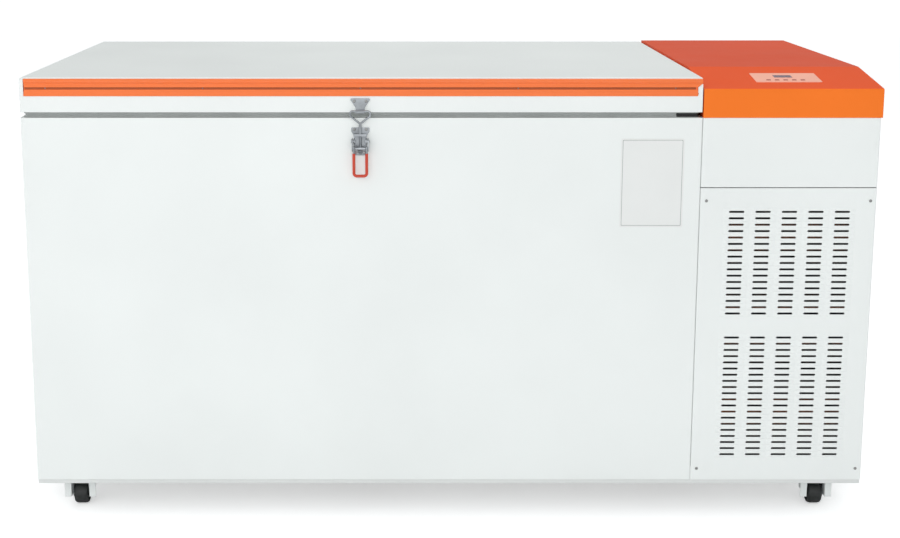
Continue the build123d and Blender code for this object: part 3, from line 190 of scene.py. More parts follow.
def object_coordinates(material, stretch=(1.0, 1.0, 1.0)):
    """Object coordinates, stretched by a Mapping node so that a grain can run one way."""
    tree = material.node_tree
    where = add_node(tree, "TexCoord").outputs["Object"]
    return add_node(tree, "Mapping", {"Scale": stretch, "Vector": where}).outputs["Vector"]


def noise(material, vector, scale, detail=3.0):
    """A noise texture's value on the given coordinates."""
    values = {"Scale": scale, "Detail": detail, "Vector": vector}
    return add_node(material.node_tree, "TexNoise", values).outputs["Fac"]


def varied_colour(material, value, colour, darker):
    """Mixes the colour with a darker tone of it by the value, into Base Color."""
    tree = material.node_tree
    base = np.array(linear(*colour))
    spread = add_node(tree, "MapRange", {
        "Value": value, "From Min": TONE_FROM, "From Max": TONE_TO,
    })
    mix = add_node(tree, "Mix", {
        "A": (*(base * darker), 1.0), "B": (*base, 1.0), "Factor": spread.outputs["Result"],
    }, data_type="RGBA")
    into_shader(material, "Base Color", mix.outputs["Result"])


def varied_roughness(material, value, low, high):
    """Spreads the value between two roughnesses."""
    values = {"Value": value, "To Min": low, "To Max": high}
    spread = add_node(material.node_tree, "MapRange", values)
    into_shader(material, "Roughness", spread.outputs["Result"])


def relief(material, value, height, strength=0.35):
    """A bump from the value, with its height in metres."""
    values = {"Distance": height, "Strength": strength, "Height": value}
    bump = add_node(material.node_tree, "Bump", values)
    into_shader(material, "Normal", bump.outputs["Normal"])
    return bump


def eased_edges(material, bump, radius):
    """Rounds the shading of hard edges by the radius in metres, as a folded sheet's edge is."""
    tree = material.node_tree
    bevel = add_node(tree, "Bevel", {"Radius": radius}, samples=4)
    tree.links.new(bevel.outputs["Normal"], bump.inputs["Normal"])


finishes = {}
print("screen 128 in linear light", round(float(linear(128, 128, 128)[0]), 3))


# %% [markdown]
# Powder coat is sprayed and baked, so it has a faint orange peel and rounds off every fold of
# the sheet. The body, lid, hood, base frame and machine share it in their own colours.

# %% Powder coats
def powder_coat(name, colour, roughness, edge=0.0012, darker=0.965, specular=0.4):
    """Paint with a slow drift of tone, orange peel of about 1.5 mm, and softened folds."""
    material = new_shader(name, colour, roughness, specular=specular)
    where = object_coordinates(material)
    varied_colour(material, noise(material, where, 2.3), colour, darker)
    varied_roughness(material, noise(material, where, 9.0), roughness - 0.05, roughness + 0.06)
    bump = relief(material, noise(material, where, 700.0, 1.0), 0.00012, 0.25)
    eased_edges(material, bump, edge)
    finishes[name] = material


powder_coat("white_paint", (243, 246, 244), 0.4)
powder_coat("lid_grey", (236, 239, 236), 0.42)
powder_coat("hood_orange", (255, 128, 48), 0.42, darker=0.95, specular=0.04)
powder_coat("frame_grey", (226, 228, 226), 0.45)
powder_coat("machine_black", (32, 32, 34), 0.4)
print("coats", sorted(finishes))

# %% [markdown]
# Painted shade by angle: the hood's face stays a light orange, its slope is painted redder, and
# its flat top, seen almost edge on, is painted darker still, as the light on them falls off.
# A Layer Weight node gives that angle, and a ramp turns it into the three tones.

# %% Painted shade by angle
def paint_shade_by_angle(material, stops):
    """Multiplies Base Color by a ramp on Facing: painted shade, deeper at low angles."""
    tree = material.node_tree
    before = tree.nodes["Principled BSDF"].inputs["Base Color"].links[0].from_socket
    facing = add_node(tree, "LayerWeight", {"Blend": 0.5}).outputs["Facing"]
    ramp = add_node(tree, "ValToRGB", {"Fac": facing})
    ramp.color_ramp.elements[0].position, ramp.color_ramp.elements[0].color = stops[0]
    ramp.color_ramp.elements[1].position, ramp.color_ramp.elements[1].color = stops[-1]
    for position, tone in stops[1:-1]:
        ramp.color_ramp.elements.new(position).color = tone
    product = add_node(tree, "Mix", {"Factor": 1.0, "A": before, "B": ramp.outputs["Color"]},
                       data_type="RGBA", blend_type="MULTIPLY")
    into_shader(material, "Base Color", product.outputs["Result"])


# The hood's orange gets painted shade on its slope and flat top.
paint_shade_by_angle(finishes["hood_orange"], [
    (0.15, (1.0, 1.0, 1.0, 1.0)), (0.66, (1.0, 0.58, 0.5, 1.0)), (0.84, (0.74, 0.4, 0.8, 1.0)),
])
print("hood tones set")


# %% [markdown]
# The trim along the lid is an extrusion. Its paint shows faint draw lines along its length, so
# its noise is stretched: a small scale along x, a large one across. The liner's steel, the fins
# and the copper use the same recipe with other stretches.

# %% Drawn finishes
def drawn_finish(name, colour, roughness, metallic, stretch, height, darker=0.95):
    """A finish whose grain runs one way: noise on coordinates that are stretched along it."""
    material = new_shader(name, colour, roughness, metallic)
    grain = noise(material, object_coordinates(material, stretch), 60.0, 4.0)
    varied_colour(material, grain, colour, darker)
    varied_roughness(material, grain, roughness - 0.07, roughness + 0.07)
    bump = relief(material, grain, height, 0.3)
    eased_edges(material, bump, 0.0006)
    finishes[name] = material


drawn_finish("trim_orange", (253, 122, 54), 0.3, 0.0, (0.05, 3.0, 3.0), 0.00008, 0.96)
drawn_finish("liner_steel", (214, 216, 219), 0.3, 1.0, (0.15, 6.0, 6.0), 0.00003, 0.9)
drawn_finish("fin_aluminium", (205, 207, 209), 0.35, 1.0, (4.0, 4.0, 0.2), 0.00004, 0.88)
drawn_finish("copper", (205, 128, 92), 0.32, 1.0, (2.0, 2.0, 2.0), 0.00005, 0.8)
# A darker orange for the trim's groove: painted shade, with some dirt.
drawn_finish("groove_dirt_and_shade_orange", (176, 84, 26), 0.5, 0.0, (0.05, 3.0, 3.0), 0.00008, 0.9)
print("drawn finishes added:", len(finishes))


# %% [markdown]
# Zinc plating is bright but not mirror-like. A cell texture gives its faint crystal flakes, and
# a slow noise makes patches of it duller.

# %% Zinc and steel
def plated_finish(name, colour, roughness, flake_scale, darker):
    """Metal with cell flakes in its roughness and a mottled tone."""
    material = new_shader(name, colour, roughness, 1.0)
    where = object_coordinates(material)
    flakes = add_node(material.node_tree, "TexVoronoi", {"Scale": flake_scale, "Vector": where})
    varied_colour(material, noise(material, where, 45.0), colour, darker)
    varied_roughness(material, flakes.outputs["Distance"], roughness - 0.08, roughness + 0.12)
    bump = relief(material, noise(material, where, 420.0, 2.0), 0.00006, 0.3)
    eased_edges(material, bump, 0.0004)
    finishes[name] = material


plated_finish("latch_zinc", (174, 178, 182), 0.34, 260.0, 0.7)
plated_finish("caster_steel", (176, 179, 181), 0.36, 220.0, 0.8)
plated_finish("screw_steel", (168, 168, 166), 0.34, 400.0, 0.8)
print("plated finishes added:", len(finishes))


# %% [markdown]
# Moulded plastics and rubbers have a fine pebble from the mould. Vinyl and the display window
# are smoother and carry a clear coat. Foam shows its open cells.

# %% Plastics, rubber and foam
def moulded_finish(name, colour, roughness, pebble, height, coat=0.0, darker=0.92):
    """Plastic or rubber: a tone that drifts slowly and a pebble of the given noise scale."""
    material = new_shader(name, colour, roughness, coat=coat)
    where = object_coordinates(material)
    varied_colour(material, noise(material, where, 14.0), colour, darker)
    varied_roughness(material, noise(material, where, 90.0), roughness - 0.06, roughness + 0.08)
    bump = relief(material, noise(material, where, pebble, 2.0), height, 0.4)
    eased_edges(material, bump, 0.0005)
    finishes[name] = material


moulded_finish("gasket_grey", (172, 176, 174), 0.6, 500.0, 0.0001)
moulded_finish("foam_cream", (226, 208, 150), 0.85, 180.0, 0.0009, darker=0.85)
moulded_finish("collar_white", (236, 237, 235), 0.5, 600.0, 0.0001, darker=0.985)
moulded_finish("handle_red", (206, 62, 34), 0.34, 300.0, 0.00008, coat=0.25)
moulded_finish("control_salmon", (255, 182, 156), 0.42, 800.0, 0.00005, darker=0.96)
moulded_finish("display_dark", (118, 80, 102), 0.14, 60.0, 0.00001, coat=0.6)
moulded_finish("key_red", (168, 74, 62), 0.4, 700.0, 0.00005)
moulded_finish("wheel_black", (34, 37, 36), 0.48, 350.0, 0.0001)
moulded_finish("fan_grey", (58, 60, 62), 0.5, 400.0, 0.0001)
moulded_finish("inlet_black", (30, 30, 31), 0.5, 500.0, 0.0001)
print("finishes", len(finishes), sorted(finishes))

# %% [markdown]
# ## Carried-over CAD pieces
# The flat panels, the hood and most of the machine are right as solids. Each takes the finish of
# its own slot in the record.

# %% Finish the CAD nodes
slot_of_node = {s["node"]: s["material_slot"] for s in frame["record"]["subparts"]}
for node_name, node in frame["nodes"].items():
    node.data.materials.clear()
    node.data.materials.append(finishes[slot_of_node[node_name]])
print("nodes dressed", len(frame["nodes"]))


# %% [markdown]
# ## Tools for new pieces
# A shape here is a pair: an array of points in drawing millimetres and a list of faces. Grids,
# prisms, turned shapes and tubes all end as such a pair, so shapes can be joined before they
# become one mesh.

# %% Grids and joins
def grid_faces(rows, columns, close_rows=False, close_columns=True):
    """Quads of a rows by columns grid; a closed direction also joins its last line to its first."""
    i = np.arange(rows if close_rows else rows - 1)[:, None]
    j = np.arange(columns if close_columns else columns - 1)[None, :]
    up, over = (i + 1) % rows, (j + 1) % columns
    quads = [i * columns + j, i * columns + over, up * columns + over, up * columns + j]
    return np.stack(np.broadcast_arrays(*quads), -1).reshape(-1, 4).tolist()


def joined(*shapes):
    """Several shapes as one: the points in a row, each shape's faces moved by those before it."""
    starts = np.cumsum([0] + [len(points) for points, _ in shapes[:-1]])
    faces = [[i + int(s) for i in f] for s, (_, many) in zip(starts, shapes) for f in many]
    return np.vstack([points for points, _ in shapes]), faces


def loft(rings, caps=True, close_rows=False):
    """Closed outlines in a row, (n, m, 3), skinned together. Caps fill the first and the last."""
    rings = np.asarray(rings, float)
    n, m = rings.shape[:2]
    faces = grid_faces(n, m, close_rows)
    if caps and not close_rows:
        faces += [list(range(m)), list(range((n - 1) * m, n * m))]
    return rings.reshape(-1, 3), faces


WELD_METRES, BEVEL_FROM_DEGREES = 2e-6, 40.0


def build(name, shape, finish, body, stands_for=(), ease=0.0, crease=35.0, tidy=True):
    """Makes the mesh object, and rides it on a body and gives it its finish.

    Ease is a bevel in millimetres. Edges sharper than crease, in degrees, stay sharp.
    """
    points, faces = shape
    mesh = bpy.data.meshes.new(name)
    mesh.from_pydata(placed(points).tolist(), [], faces)
    if tidy:
        work = bmesh.new()
        work.from_mesh(mesh)
        bmesh.ops.remove_doubles(work, verts=work.verts, dist=WELD_METRES)
        bmesh.ops.recalc_face_normals(work, faces=work.faces)
        work.to_mesh(mesh)
        work.free()
    mesh.polygons.foreach_set("use_smooth", np.ones(len(mesh.polygons), bool))
    mesh.set_sharp_from_angle(angle=np.radians(crease))
    mesh.materials.append(finishes[finish])
    piece = bpy.data.objects.new(name, mesh)
    scene.collection.objects.link(piece)
    if ease:
        bevel = piece.modifiers.new("eased", "BEVEL")
        bevel.width = ease / 1000.0
        bevel.segments = 2
        bevel.limit_method = "ANGLE"
        bevel.angle_limit = np.radians(BEVEL_FROM_DEGREES)
    steady = piece.modifiers.new("flat_stays_flat", "WEIGHTED_NORMAL")
    steady.keep_sharp = True
    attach(piece, body)
    if stands_for:
        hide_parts(*stands_for)
    print(name, len(mesh.polygons), "faces")
    return piece


print("a 3 by 4 closed grid has", len(grid_faces(3, 4)), "faces")

# %% [markdown]
# Outlines are flat: a circle, or a polygon with each corner replaced by an arc that touches both
# sides. A prism carries an outline along x, y or z.

# %% Outlines and prisms
ORDER = {"x": (1, 2, 0), "y": (0, 2, 1), "z": (0, 1, 2)}
TINY_RADIUS = 1e-6  # keeps a square corner's arc from vanishing


def circle(centre, radius, sides=32, start=0.0):
    """Points at equal angles round a centre."""
    angle = start + np.arange(sides) * 2 * np.pi / sides
    return np.asarray(centre) + radius * np.column_stack([np.cos(angle), np.sin(angle)])


def rounded(corners, radii, steps=6):
    """Each corner becomes an arc: its centre lies on the bisector at r / sin(half the angle)."""
    p = np.asarray(corners, float)
    r = np.broadcast_to(np.asarray(radii, float), len(p))[:, None] + TINY_RADIUS
    u = np.roll(p, 1, 0) - p
    v = np.roll(p, -1, 0) - p
    u /= np.linalg.norm(u, axis=1, keepdims=True)
    v /= np.linalg.norm(v, axis=1, keepdims=True)
    half = np.arccos(np.clip((u * v).sum(1, keepdims=True), -1, 1)) / 2
    bisector = (u + v) / np.linalg.norm(u + v, axis=1, keepdims=True)
    centre = p + bisector * r / np.sin(half)
    first = p + u * r / np.tan(half) - centre
    last = p + v * r / np.tan(half) - centre
    a0 = np.arctan2(first[:, 1], first[:, 0])[:, None]
    turn = np.arctan2(last[:, 1], last[:, 0])[:, None] - a0
    turn = (turn + np.pi) % (2 * np.pi) - np.pi
    angle = a0 + turn * np.linspace(0, 1, steps + 1)
    arcs = centre[:, None] + r[:, None] * np.stack([np.cos(angle), np.sin(angle)], -1)
    return arcs.reshape(-1, 2)


def rectangle(x, y, radius, steps=6):
    """A rounded rectangle between two x and two y values."""
    corners = [(x[0], y[0]), (x[1], y[0]), (x[1], y[1]), (x[0], y[1])]
    return rounded(corners, radius, steps)


def ring_at(outline, level, axis="z"):
    """A flat outline set at one level along an axis."""
    a, b, c = ORDER[axis]
    points = np.empty((len(outline), 3))
    points[:, a], points[:, b], points[:, c] = outline[:, 0], outline[:, 1], level
    return points


def prism(outline, span, axis):
    """An outline carried straight from one level to another."""
    return loft([ring_at(outline, span[0], axis), ring_at(outline, span[1], axis)])


def stacked(x, y, rows, steps=6, axis="z"):
    """Rounded rectangles along an axis, one for each (inset, level, corner radius)."""
    return np.stack([
        ring_at(rectangle((x[0] + d, x[1] - d), (y[0] + d, y[1] - d), r, steps), level, axis)
        for d, level, r in rows
    ])


print("rounded square has", len(rounded([(0, 0), (1, 0), (1, 1), (0, 1)], 0.2)), "points")


# %% [markdown]
# Turned shapes carry a profile of radius and height round an axis. Tubes carry a circle along a
# path that lies in a plane; the plane's normal keeps the circle from twisting.

# %% Turned shapes and tubes
def turned(profile, centre, axis, sides=48, closed=False):
    """Profile (radius, height) round an axis: angle t gives r cos t and r sin t across it."""
    profile = np.asarray(profile, float)
    angle = np.arange(sides) * 2 * np.pi / sides
    a, b, c = ORDER[axis]
    rings = np.empty((len(profile), sides, 3))
    rings[..., a] = profile[:, :1] * np.cos(angle)
    rings[..., b] = profile[:, :1] * np.sin(angle)
    rings[..., c] = profile[:, 1:]
    rings += np.asarray(centre, float)
    return loft(rings, caps=False, close_rows=closed)


def tube(path, radius, normal, sides=20, closed=False):
    """A circle of the radius round each point, spanned by the normal and its cross with the run."""
    path = np.asarray(path, float)
    if closed:
        run = np.roll(path, -1, 0) - np.roll(path, 1, 0)
    else:
        run = np.gradient(path, axis=0)
    run /= np.linalg.norm(run, axis=1, keepdims=True)
    up = np.broadcast_to(np.asarray(normal, float), run.shape)
    side = np.cross(run, up)
    side /= np.linalg.norm(side, axis=1, keepdims=True)
    angle = np.arange(sides) * 2 * np.pi / sides
    radius = np.broadcast_to(np.asarray(radius, float), len(path))[:, None, None]
    rings = path[:, None] + radius * (
        np.cos(angle)[None, :, None] * side[:, None] + np.sin(angle)[None, :, None] * up[:, None]
    )
    return loft(rings, caps=not closed, close_rows=closed)


def bent_path(corners, radii, plane_axis, level, steps=7):
    """An open path in a plane, its inner corners rounded, for wires and pipes."""
    corners = np.asarray(corners, float)
    radii = np.concatenate([[0.0], np.broadcast_to(radii, len(corners) - 2), [0.0]])
    flat = rounded(corners, radii, steps)
    flat = flat[steps : len(flat) - steps]
    keep = np.r_[True, np.linalg.norm(np.diff(flat, axis=0), axis=1) > 1e-4]
    return ring_at(flat[keep], level, plane_axis)


def pan_head(spot, axis, radius, height, sign):
    """A domed screw head with a round cup sunk in it for the drive, turned round its axis."""
    profile = [
        (0.0, 0.35), (0.42, 0.35), (0.45, 0.98), (0.62, 0.97), (0.82, 0.82), (0.97, 0.45),
        (1.0, 0.0),
    ]
    profile = np.asarray(profile) * (radius, sign * height)
    return turned(profile, spot, axis, 24)


print("tools ready")

# %% [markdown]
# ## Orange trim
# The lid's front edge is gripped by an extruded trim: a flat with a screw groove, a thin bead,
# and a top edge rolled over. The profile is one closed outline in y and z, carried along x. At
# the left it ends in a shallow hollow, and at the right its lower part stops short.

# %% Front trim
def arc(centre, radius, start, stop, steps):
    """Points of an arc, with its angles in degrees."""
    angle = np.radians(np.linspace(start, stop, steps))
    return np.asarray(centre) + radius * np.column_stack([np.cos(angle), np.sin(angle)])


TRIM_BOTTOM, TRIM_HEIGHT = 901.3, 35.0
LEFT_END, HOLLOW_DEPTH = 8.8, 1.9
LOWER_PART_TOP, LOWER_END, UPPER_END = 926.5, 1375.5, 1384.8
trim_profile = np.vstack([
    [(4.5, TRIM_BOTTOM)],
    arc((-0.7, 902.1), 0.8, 270, 180, 4),
    arc((-1.0, 914.5), 0.5, 180, 90, 4),
    [(1.1, 915.0)],
    arc((1.1, 915.4), 0.4, 270, 360, 3),
    arc((1.1, 919.0), 0.4, 0, 90, 3),
    arc((-1.0, 919.9), 0.5, 270, 180, 4),
    arc((-1.5, 928.5), 1.3, 270, 90, 12),
    arc((3.5, 931.3), 5.0, 180, 90, 12),
    [(4.5, 936.3)],
])
height = (trim_profile[:, 1] - TRIM_BOTTOM) / TRIM_HEIGHT
left_end = LEFT_END + HOLLOW_DEPTH * np.sin(np.pi * height)
right_end = np.where(trim_profile[:, 1] < LOWER_PART_TOP, LOWER_END, UPPER_END)
stations = [left_end, np.full_like(height, 14.0), np.full_like(height, 1370.0), right_end]
trim_rings = np.stack([np.column_stack([x, trim_profile]) for x in stations])
build("orange_trim", loft(trim_rings), "trim_orange", "lid", ["front_trim"], crease=28)

# A dark orange strip in the groove's bottom: painted shade of the groove, with some dirt.
strip = prism(rectangle((12.0, 1371.0), (0.75, 1.08), 0.1), (915.2, 919.2), "z")
build("groove_dirt_and_shade_strip", strip, "groove_dirt_and_shade_orange", "lid")

# %% [markdown]
# ## Gasket
# Under the lid a soft seal runs all round: a bellows with a groove on its outer side. Its
# section is a closed profile of inset and height, carried round a rounded rectangle.

# %% Lid gasket
bellows = [
    (1.0, 868.3), (0.2, 867.4), (0.0, 866.0), (0.4, 865.0), (2.8, 864.3), (2.8, 861.6),
    (0.4, 861.0), (0.0, 859.8), (0.3, 858.4), (1.2, 857.6), (18.8, 857.6), (20.0, 858.6),
    (20.0, 867.2), (19.0, 868.3),
]
gasket = stacked((5.7, 1380.7), (5.0, 835.0), [(d, z, max(6.0 - d, 1.0)) for d, z in bellows])
build("bellows_gasket", loft(gasket, close_rows=True), "gasket_grey", "lid", ["lid_gasket"],
      crease=50)

# %% [markdown]
# The seal's corner is a separate moulding, a little proud of the strips that it joins. At the
# At the front right it lies in the hood's shade, and its near-black finish is painted shade.

# %% Gasket corner in painted shade
corner_path = np.vstack([[(1334.0, 5.0)], arc((1374.8, 10.9), 6.0, 270, 360, 8), [(1380.8, 70.0)]])
run = np.gradient(corner_path, axis=0)
inward = np.column_stack([-run[:, 1], run[:, 0]]) / np.linalg.norm(run, axis=1)[:, None]
corner_profile = np.array([
    (-0.15, 866.0), (-0.15, 864.6), (2.6, 863.9), (2.6, 861.9), (-0.15, 861.2), (-0.15, 858.6),
    (4.0, 858.0), (4.0, 867.6),
])
corner_rings = np.stack([
    np.column_stack([spot + np.outer(corner_profile[:, 0], side), corner_profile[:, 1]])
    for spot, side in zip(corner_path, inward)
])
# Its near-black finish is painted shade from the hood.
build("gasket_corner_painted_shade", loft(corner_rings), "inlet_black", "lid", crease=50)

# %% [markdown]
# ## Toggle latch
# The latch is an over-centre clamp. A keeper on the lid ends in a shallow hook. A wire bail
# lies in the hook and hangs from a threaded rod, whose swivel sits in the lever's cheeks. The
# lever turns on rivets in the base's ears, and its wire handle wears a red sleeve.

# %% Keeper and hook
latch = 691.0
sheet = 2.0
pivot_y, pivot_z = -10.307, 810.0
wire_y, swivel_z = -9.0, 795.06
hook_y, hook_z, hook_radius = pivot_y, 886.543, 17.3
keeper_outline = rounded(
    [
        (latch - 9.3, 871.3), (latch + 9.3, 871.3), (latch + 9.3, 878.0), (latch + 20.0, 894.0),
        (latch + 18.6, 897.0), (latch - 18.6, 897.0), (latch - 20.0, 894.0), (latch - 9.3, 878.0),
    ],
    [0.1, 0.1, 4.0, 1.5, 1.5, 1.5, 1.5, 4.0],
)
turn = np.radians(np.linspace(-118.0, -58.0, 22))
inner = np.column_stack([hook_y + hook_radius * np.cos(turn), hook_z + hook_radius * np.sin(turn)])
lip = np.radians(np.linspace(-114.8, -58.0, 22))
outer = np.column_stack([
    hook_y + (hook_radius + sheet) * np.cos(lip), hook_z + (hook_radius + sheet) * np.sin(lip)
])
inside = inner[:, 0] <= 0
hook_outline = np.vstack([inner[inside], outer[inside][::-1]])
hook_outline[:, 1] = np.minimum(hook_outline[:, 1], 872.0)
keeper = joined(
    prism(keeper_outline, (-sheet, 0.0), "y"), prism(hook_outline, (latch - 9.3, latch + 9.3), "x")
)
build("keeper_hook", keeper, "latch_zinc", "lid", ["latch_keeper"], ease=0.35)

# %% [markdown]
# The base plate narrows to a tongue with two small holes. Its ears stand out from the chest and
# carry the rivets that the lever turns on.

# %% Base plate, ears and rivets
def holed_plate(outline, holes, span):
    """A plate between two y values with round holes, filled between its outlines."""
    loops = [outline] + holes
    flat = [[Vector((float(a), float(b), 0.0)) for a, b in loop] for loop in loops]
    fill = [list(t) for t in tessellate_polygon(flat)]
    points = np.vstack(loops)
    count = len(points)
    faces = fill + [[i + count for i in f][::-1] for f in fill]
    start = 0
    for loop in loops:
        i = start + np.arange(len(loop))
        over = start + (np.arange(len(loop)) + 1) % len(loop)
        faces += np.column_stack([i, over, over + count, i + count]).tolist()
        start += len(loop)
    return np.vstack([ring_at(points, span[0], "y"), ring_at(points, span[1], "y")]), faces


base_outline = rounded(
    [
        (latch - 13, 780.0), (latch + 13, 780.0), (latch + 13, 821.0), (latch + 18.5, 829.0),
        (latch + 18.5, 837.4), (latch - 18.5, 837.4), (latch - 18.5, 829.0), (latch - 13, 821.0),
    ],
    [4.0, 4.0, 3.0, 1.0, 2.0, 2.0, 1.0, 3.0],
)
tongue_holes = [circle((latch + d, 786.0), 1.7, 16) for d in (-7.0, 7.0)]
ear_outline = rounded(
    [(-2.0, 804.0), (-2.0, 816.0), (-16.3, 816.0), (-16.3, 804.0)], [0.1, 0.1, 5.8, 5.8]
)
ears = [prism(ear_outline, sorted((latch + s * 11.0, latch + s * 13.0)), "x") for s in (-1, 1)]
rivet_profile = [
    (0, 11.0), (2.5, 11.0), (2.5, 17.5), (4.0, 17.5), (3.8, 18.2), (2.6, 18.7), (0, 18.7),
]
rivets = [
    turned([(r, s * h) for r, h in rivet_profile], (latch, pivot_y, pivot_z), "x", 28)
    for s in (-1, 1)
]
build(
    "latch_base_plate",
    joined(holed_plate(base_outline, tongue_holes, (-sheet, 0.0)), *ears, *rivets),
    "latch_zinc", "cabinet", ["latch_base"], ease=0.25,
)

# %% [markdown]
# The lever is two pressed cheeks with a U of wire. The red sleeve follows the same U, a little
# thicker, and ends below the cheeks.

# %% Lever cheeks, handle wire and sleeve
cheek = rounded(
    [(-3.9, 816.4), (-16.6, 816.6), (-19.1, 795.0), (-16.8, 789.7), (-4.9, 789.6)],
    [6.2, 6.2, 3.0, 3.0, 4.6],
)
cheeks = [prism(cheek, sorted((latch + s * 15.2, latch + s * 17.2)), "x") for s in (-1, 1)]


def handle_path(top):
    """The handle's U in the plane y -16, from one height down, across and up again."""
    left, right, low = latch - 13, latch + 13, 739.6
    return bent_path([(left, top), (left, low), (right, low), (right, top)], 6.0, "y", -16.0)


handle = tube(handle_path(800.0), 2.5, (0, 1, 0))
build("lever_and_wire", joined(*cheeks, handle), "latch_zinc", "latch_lever", ["latch_lever"],
      ease=0.3)
build("red_sleeve", tube(handle_path(786.0), 3.1, (0, 1, 0), 24), "handle_red", "latch_lever",
      ["handle_sleeve"], ease=0.4)

# %% [markdown]
# The bail is a closed loop of wire with a stem down to the yoke. The rod's thread is a stack of
# rings: its radius follows a cosine of the height, one period for each pitch of 0.8 mm.

# %% Bail wire, rod, swivel and nut
thread_radius, thread_depth, thread_pitch = 2.32, 0.16, 0.8
bail_corners = [
    (latch - 20.5, 871.6), (latch + 20.5, 871.6), (latch + 20.5, 862.0), (latch, 845.7),
    (latch - 20.5, 862.0),
]
bail_path = ring_at(rounded(bail_corners, [5, 5, 6, 3, 6], 8), wire_y, "y")
stem = tube([(latch, wire_y, z) for z in np.linspace(846.5, 825.1, 12)], 2.8, (0, 1, 0))
build("wire_bail", joined(tube(bail_path, 2.0, (0, 1, 0), closed=True), stem), "latch_zinc",
      "latch_bail", ["bail_wire"])
thread_z = np.linspace(825.0, 783.2, 340)
thread_r = thread_radius + thread_depth * np.cos(2 * np.pi * thread_z / thread_pitch)
rod = tube([(latch, wire_y, z) for z in thread_z], thread_r, (0, 1, 0), 18)
yoke = prism(rectangle((latch - 13.8, latch + 13.8), (-12.0, -6.0), 1.6), (820.5, 825.1), "z")
swivel = turned(
    [(0, -17.1), (2.15, -17.1), (2.15, -14.9), (4.0, -14.9), (4.0, 14.9), (2.15, 14.9),
     (2.15, 17.1), (0, 17.1)], (latch, wire_y, swivel_z), "x", 32,
)
nut = prism(circle((latch, wire_y), 4.55, 6, np.pi / 6), (787.1, 791.0), "z")
build("rod_and_swivel", joined(rod, yoke, swivel, nut), "latch_zinc", "latch_bail", ["bail_rod"],
      ease=0.25)

# %% [markdown]
# ## Screws
# Every screw head is the same turned profile, scaled and set at its own spot: five in the trim's
# groove, two on the keeper, two on the latch base and four at the grille's corners.

# %% Screw heads
trim_heads = [pan_head((53.0 + 319.4 * n, 1.5, 917.2), "y", 1.8, 1.2, -1) for n in range(5)]
keeper_heads = [pan_head((latch + s * 12.0, -2.0, 891.0), "y", 3.0, 1.4, -1) for s in (-1, 1)]
build("lid_screw_heads", joined(*trim_heads, *keeper_heads), "screw_steel", "lid", ["lid_screws"])
base_heads = [pan_head((latch + s * 12.0, -2.0, 833.2), "y", 3.0, 1.4, -1) for s in (-1, 1)]
corners = [(x, z) for x in (1400.5, 1737.5) for z in (106.0, 685.0)]
grille_heads = [pan_head((x, 0.0, z), "y", 3.2, 1.6, -1) for x, z in corners]
build("body_screw_heads", joined(*base_heads, *grille_heads), "screw_steel", "cabinet",
      ["body_screws"])

# %% [markdown]
# ## Slotted grille
# The lower front panel of the machine bay is punched with two blocks of cooling slots with round
# ends. One cell of the pattern is a ring of faces between a slot and a rectangle round it. The
# cell is repeated by adding an array of offsets, so all the slots are two array sums.

# %% Grille panel
def slot_cell(width, depth, slot_width, slot_height, around=9):
    """Slot outline of two half circles, and the same angles pushed out to the cell's edge."""
    t = np.linspace(-np.pi / 2, np.pi / 2, around)
    c, s = np.cos(t), np.sin(t)
    r, mid = slot_height / 2, slot_width / 2 - slot_height / 2
    right = np.column_stack([mid + r * c, r * s])
    reach = 1.0 / np.maximum(c, np.abs(s))
    edge = np.column_stack([mid + (width / 2 - mid) * c * reach, depth / 2 * s * reach])
    slot = np.vstack([right, -right])
    cell = np.vstack([edge, -edge])
    return slot, cell


PITCH_X, PITCH_Z = 54.4, 13.5
SLOT_LONG, SLOT_HIGH = 31.4, 4.4
FIRST_X, LOWER_BLOCK_Z, UPPER_BLOCK_Z = 1447.9, 137.6, 446.0
slot_ring, cell_ring = slot_cell(PITCH_X, PITCH_Z, SLOT_LONG, SLOT_HIGH)
columns = FIRST_X + SLOT_LONG / 2 + PITCH_X * np.arange(5)
rows = np.concatenate([LOWER_BLOCK_Z + PITCH_Z * np.arange(20),
                       UPPER_BLOCK_Z + PITCH_Z * np.arange(17)])
centres = np.stack(np.meshgrid(columns, rows), -1).reshape(-1, 1, 1, 2)
cells = (np.stack([cell_ring, slot_ring])[None] + centres).reshape(-1, 2)
one = np.array(grid_faces(2, len(slot_ring)))
first_point = np.arange(len(centres)) * 2 * len(slot_ring)
cell_faces = (one[None] + first_point[:, None, None]).reshape(-1, 4)
cell_points = np.column_stack([cells[:, 0], np.zeros(len(cells)), cells[:, 1]])


block_x, panel_z = (1436.4, 1708.4), (81.0, 711.7)


def front_quad(x, z):
    """One flat face on the front plane."""
    corners = [(x[0], 0, z[0]), (x[1], 0, z[0]), (x[1], 0, z[1]), (x[0], 0, z[1])]
    return np.array(corners), [[0, 1, 2, 3]]


def folded_edge(x_flat, x_end, sign):
    """The panel's edge: flat, a bend of radius 3, and a 20 mm return, as a surface along z."""
    bend = arc((x_end - sign * 3.0, 3.0), 3.0, 270, 360 if sign > 0 else 180, 6)
    line = np.vstack([[(x_flat, 0.0)], bend, [(x_end, 20.0)]])
    grid = np.stack([np.column_stack([line, 0 * line[:, 0] + z]) for z in panel_z])
    faces = grid_faces(2, len(line), close_columns=False)
    return grid.reshape(-1, 3), faces if sign > 0 else [f[::-1] for f in faces]


